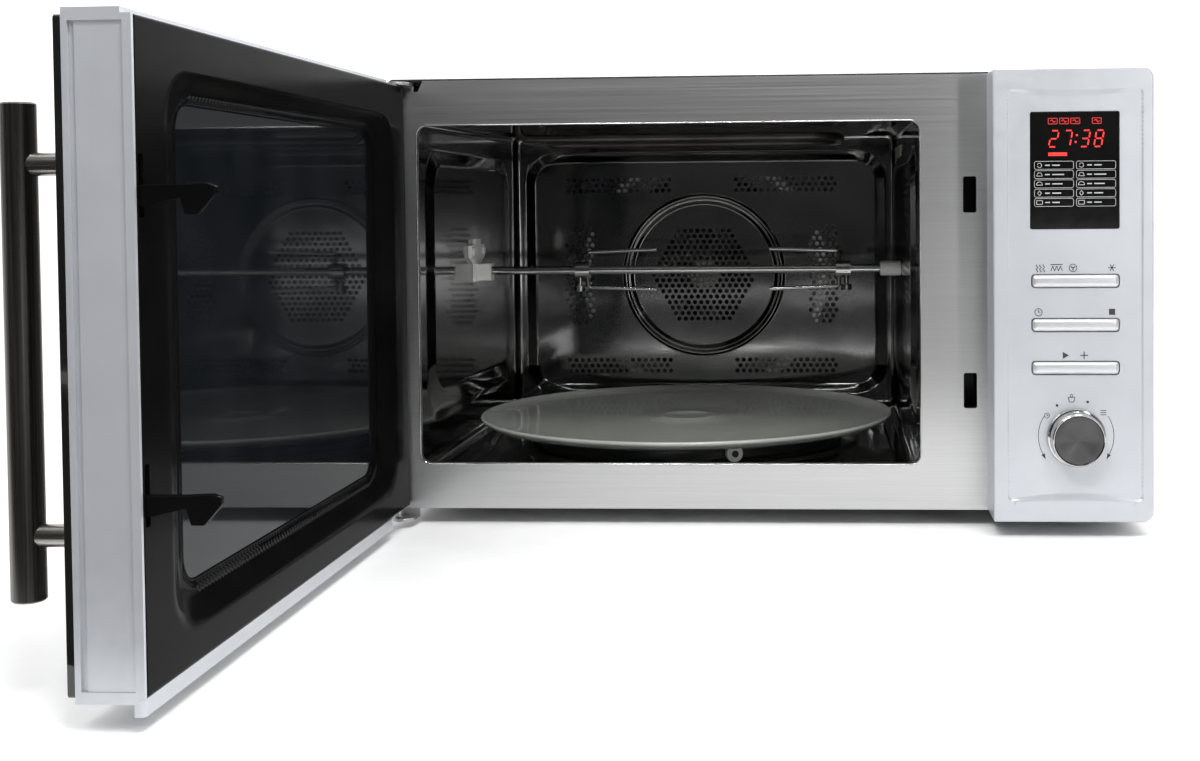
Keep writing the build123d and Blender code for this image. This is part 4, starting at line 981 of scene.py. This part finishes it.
def build_bars():
    """Key bars with a softly domed front, and a wider foot behind the panel."""
    for node in ("mode_bar", "clock_bar", "start_bar"):
        x0, x1, y0, y1, z0, z1 = box_mm(node)
        z = (z0 + z1) / 2
        deep = y1 - y0
        rings = []
        for inset, back in ((-1.4, deep), (-1.4, deep - 1.2), (2.0, deep - 1.2), (2.0, deep - 2.5),
                            (0.0, deep - 2.5), (0.0, 2.0), (0.2, 1.5), (0.55, 1.05), (1.1, 0.6),
                            (1.8, 0.3), (2.7, 0.07), (3.6, 0.0)):
            rect = (BAR_X0 + inset, BAR_X1 - inset, z - BAR_H / 2 + inset,
                    z + BAR_H / 2 - inset)
            flat = rounded_rect(rect, min(max(2.0 - inset * 0.6, 0.3), 2.2), 500)
            rings.append([(px, y0 + back, pz) for px, pz in flat])
        piece = smooth_piece(node + "_domed", rings, NODES[node]["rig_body"], "bar_silver",
                             "bar_silver", 60)
        cap_ends(piece)
        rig.replaces(piece, node)


def spin_about_own_z(piece, centre):
    """Turns a piece's own frame so that its Z axis points out of the panel. Its shape stays."""
    where = Vector(np.array(centre) * MM + MIDDLE)
    own = Matrix.Translation(where) @ Matrix.Rotation(math.pi / 2, 4, "X")
    piece.data.transform(own.inverted())
    piece.matrix_world = own


def build_hinge_edge():
    """The door cover's rounded hinge edge, a bar round the pins' axis."""
    outline = [(-270.0, -266.6), (-256.0, -266.6), (-256.0, -260.0)]
    outline += [(HINGE_X + 8 * math.cos(math.radians(a)), HINGE_Y + 8 * math.sin(math.radians(a)))
                for a in range(-40, 181, 10)]
    middle = np.array([(-263.0, -255.0)])
    rings = []
    for z, inset in ((15.6, 0.06), (16.1, 0.0), (316.9, 0.0), (317.4, 0.06)):
        flat = np.array(outline) * (1 - inset) + middle * inset
        ring = np.column_stack([flat, np.full(len(flat), z)])
        rings.append([tuple(p) for p in opened(ring)])
    cap_ends(smooth_piece("door_hinge_edge", rings, "door", "black_gloss", "black_gloss", 40))


OPENING, OPENING_R = (-247.4, 113.9, 44.6, 289.5), 7.0


def build_lip():
    """The front frame's opening has a fine rolled edge."""
    rings = []
    for out, y in ((0.75, -240.0), (0.62, -240.28), (0.3, -240.42), (-0.05, -240.3), (-0.22, -239.9),
                   (-0.22, -238.9), (0.05, -238.9), (0.75, -239.6)):
        x0, x1, z0, z1 = OPENING
        r = OPENING_R
        flat = [(cx + (r + out) * math.cos(a), cz + (r + out) * math.sin(a))
                for cx, cz, start in ((x1 - r, z0 + r, -90), (x1 - r, z1 - r, 0),
                                      (x0 + r, z1 - r, 90), (x0 + r, z0 + r, 180))
                for a in np.radians(np.linspace(start, start + 90, 9))]
        rings.append([(x, y, z) for x, z in flat])
    smooth_piece("opening_lip", rings, "cabinet", "front_steel", "knob_rim", 60, True)


def build_knob():
    """A spun cap with a bright rim on a bright skirt."""
    kx0, kx1, ky0, ky1, kz0, kz1 = box_mm("selector_knob")
    centre = ((kx0 + kx1) / 2, 0.0, (kz0 + kz1) / 2)
    seat = py0 + FIELD_DEPTH - 0.45
    skirt = [(3.0, -seat), (19.4, -seat), (20.0, -seat + 0.5), (20.0, -seat + 1.4), (19.3, -seat + 2.3),
             (18.4, -seat + 2.6), (18.2, -seat + 3.2), (18.2, -ky0 - 2.0), (18.0, -ky0 - 0.8),
             (17.6, -ky0 - 0.2), (17.2, -ky0), (16.8, -ky0 - 0.2), (16.5, -ky0 - 0.8),
             (16.3, -ky0 - 2.2), (3.0, -ky0 - 2.2)]
    finish_lathe("knob_body", skirt, centre, "y", "knob", "knob_metal", "knob_rim", ("selector_knob",))
    face = [(0.0, -ky0 - 1.3), (4.0, -ky0 - 1.26), (8.0, -ky0 - 1.14), (12.0, -ky0 - 0.94),
            (15.4, -ky0 - 0.7), (16.2, -ky0 - 0.72), (16.45, -ky0 - 1.0), (16.45, -ky0 - 1.8),
            (0.0, -ky0 - 1.8)]
    cap = finish_lathe("knob_face", face, centre, "y", "knob", "knob_metal", "knob_cap")
    spin_about_own_z(cap, centre)
    stem = [(0.0, -seat + 1.0), (2.9, -seat + 1.0), (2.9, -ky1 + 0.3), (2.6, -ky1), (0.0, -ky1)]
    finish_lathe("knob_stem", stem, centre, "y", "knob", "knob_metal", "knob_rim", count=32)


# ---------------------------------------------------------------- turntable and spit
def build_collar():
    """A pale sleeve by the spit's drive end."""
    rod = box_mm("spit_rod")
    y, z = (rod[2] + rod[3]) / 2, (rod[4] + rod[5]) / 2
    rings = []
    for x, r in ((92.9, 5.0), (93.2, 5.7), (94.0, 6.0), (109.4, 6.0), (110.1, 5.7), (110.4, 5.0),
                 (110.4, 3.0), (92.9, 3.0)):
        rings.append([(x, y + r * math.cos(a), z + r * math.sin(a))
                      for a in np.linspace(0, 2 * math.pi, 49)[:-1]])
    smooth_piece("spit_collar", rings, "spit", "spit_steel", "white_plastic", 50, True)


def build_plate():
    """Pressed glass plate: flat well, low steps and a rounded rim that stands up."""
    z0 = box_mm("glass_plate")[4] + 3.5
    top = [(0, 4.6), (19, 4.6), (20.5, 5.1), (22.5, 5.1), (24, 4.6), (60, 4.6), (120, 4.6),
           (146, 4.6), (152, 4.8), (158, 5.4), (163, 6.4), (167, 7.7), (169.4, 8.8),
           (170.6, 9.2), (171.8, 8.9), (172.4, 8.1),
           (172.5, 7.2), (172.0, 6.2), (170, 4.9), (166, 2.8), (160, 1.2), (154, 0.4), (148, 0.0),
           (120, 0.0), (60, 0.0), (24, 0.0), (23, -1.6), (20.5, -1.6), (19.5, 0.0), (0, 0.0)]
    finish_lathe("plate_glass", [(r, h + z0) for r, h in top], (TT_X, TT_Y, 0), "z",
                 "turntable", "tray_glass", "tray_glass", ("glass_plate",), 160, 50)


# How wide the rounding is on the copies of these CAD nodes, in millimetres.
SOFT_EDGES = {"outer_casing": 0.6, "door_glass": 0.4, "handle_bar": 0.9, "handle_posts": 0.4,
              "display_window": 0.3, "latch_hooks": 0.7, "spit_support": 0.7,
              "roller_1": 0.8, "roller_2": 0.8, "roller_3": 0.8, "rubber_feet": 1.0,
              "back_panel": 0.3, "upper_hinge_bracket": 0.3, "lower_hinge_bracket": 0.3,
              "fork_screws": 0.3, "casing_screws": 0.3, "cord_gland": 0.5, "door_window_glass": 0.3,
              "waveguide_cover": 0.2, "roller_ring": 0.5}

for build in (build_walls, build_back, build_door_cover, build_hinge_edge, build_panel, build_display,
              build_print, build_lip, build_bars, build_knob, build_collar, build_plate):
    build()
for node, width in SOFT_EDGES.items():
    softened(node, width)

# ---------------------------------------------------------------- camera and light
CAMERA = dict(place=(46.062, -1297.124, 232.867), yaw=-3.29, pitch=1.781, roll=-0.486)
SENSOR, LENS_MM = 36.0, 44.436
SHIFT_X, SHIFT_Y = -0.11575, -0.11058


def make_camera():
    yaw, pitch, roll = (math.radians(CAMERA[k]) for k in ("yaw", "pitch", "roll"))
    right = Vector((math.cos(yaw), -math.sin(yaw), 0))
    ahead = Vector((math.sin(yaw), math.cos(yaw), 0))
    up = Vector((0, 0, 1))
    forward = ahead * math.cos(pitch) - up * math.sin(pitch)
    top = up * math.cos(pitch) + ahead * math.sin(pitch)
    side = right * math.cos(roll) + top * math.sin(roll)
    top = top * math.cos(roll) - right * math.sin(roll)
    data = bpy.data.cameras.new("camera")
    data.sensor_width, data.lens = SENSOR, LENS_MM
    data.shift_x, data.shift_y = SHIFT_X, SHIFT_Y
    camera = linked("camera", data)
    turn = Matrix((side, top, -forward)).transposed()
    where = Vector(np.array(CAMERA["place"]) * MM + MIDDLE)
    camera.matrix_world = Matrix.Translation(where) @ turn.to_4x4()
    bpy.context.scene.camera = camera


def area_light(name, place, target, size, power):
    data = bpy.data.lights.new(name, "AREA")
    data.shape = "RECTANGLE"
    data.size, data.size_y = size
    data.energy = power
    lamp = linked(name, data)
    lamp.location = Vector(place) + Vector(MIDDLE)
    lamp.rotation_euler = (Vector(target) - Vector(place)).to_track_quat("-Z", "Y").to_euler()
    lamp.visible_camera = False


def flag(name, corners):
    """A dark screen that only reflections see."""
    data = bpy.data.meshes.new(name)
    data.from_pydata([tuple(Vector(c) + Vector(MIDDLE)) for c in corners], [], [[0, 1, 2, 3]])
    screen = linked(name, data)
    data.materials.append(LOOKS["screen_black"].material)
    screen.visible_camera = screen.visible_diffuse = screen.visible_shadow = False
    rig.stage(screen)


def make_stage():
    data = bpy.data.meshes.new("floor")
    r = 14.0
    rim = [(r * math.cos(a), r * math.sin(a), 0) for a in np.linspace(0, 2 * math.pi, 65)[:-1]]
    data.from_pydata(rim, [], [list(range(64))])
    floor = linked("floor", data)
    look = moulded("floor", grey(0.86), grey(0.9), rough=(0.5, 0.6))
    data.materials.append(look.material)
    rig.stage(floor)
    flag("flag_front", [(-3.5, -1.9, 0.02), (3.5, -1.9, 0.02), (3.5, -1.9, 4), (-3.5, -1.9, 4)])
    flag("flag_floor", [(-3.5, -1.9, 0.004), (3.5, -1.9, 0.004),
                        (3.5, -0.75, 0.004), (-3.5, -0.75, 0.004)])
    world = bpy.data.worlds.new("studio")
    bpy.context.scene.world = world
    world.use_nodes = True
    tree = world.node_tree
    sky = tree.nodes["Background"]
    sky.inputs["Strength"].default_value = 1.75
    direction = tree.nodes.new("ShaderNodeTexCoord").outputs["Generated"]
    toward = tree.nodes.new("ShaderNodeVectorMath")         # bright above and behind, dark in front
    toward.operation = "DOT_PRODUCT"
    toward.inputs[1].default_value = (0.0, 0.6, 0.8)
    fade = tree.nodes.new("ShaderNodeValToRGB")
    dark, light = fade.color_ramp.elements
    dark.position, dark.color = 0.42, (0.03, 0.03, 0.034, 1)
    light.position, light.color = 0.78, (0.8, 0.8, 0.8, 1)
    top = fade.color_ramp.elements.new(0.93)
    top.color = (1.0, 1.0, 1.0, 1)
    spread = tree.nodes.new("ShaderNodeMapRange")
    spread.inputs["From Min"].default_value = -1.0
    tree.links.new(direction, toward.inputs[0])
    tree.links.new(toward.outputs["Value"], spread.inputs["Value"])
    tree.links.new(spread.outputs["Result"], fade.inputs["Fac"])
    tree.links.new(fade.outputs["Color"], sky.inputs["Color"])


make_camera()
make_stage()
area_light("key", (0.55, -1.7, 2.3), (0.1, 0, 0.15), (0.7, 0.5), 22)
area_light("left", (-0.5, -1.75, 1.5), (-0.3, -0.4, 0.15), (0.35, 0.5), 6)
area_light("strip_top", (-0.06, -0.78, 0.66), (-0.05, 0.1, 0.15), (0.34, 0.05), 3.5)
area_light("strip_right", (0.52, -0.9, 0.34), (-0.1, 0.1, 0.12), (0.06, 0.4), 0.7)
area_light("low", (0.6, -1.8, 0.09), (0.1, -0.2, 0.15), (0.9, 0.14), 0.8)
bpy.context.scene.view_settings.view_transform = "Standard"

bpy.context.view_layer.update()
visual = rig.bounds()
with open("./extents.json", "w") as size_file:
    json.dump({"cad": [list(c) for c in CAD_BOX], "visual": [list(c) for c in visual]}, size_file)
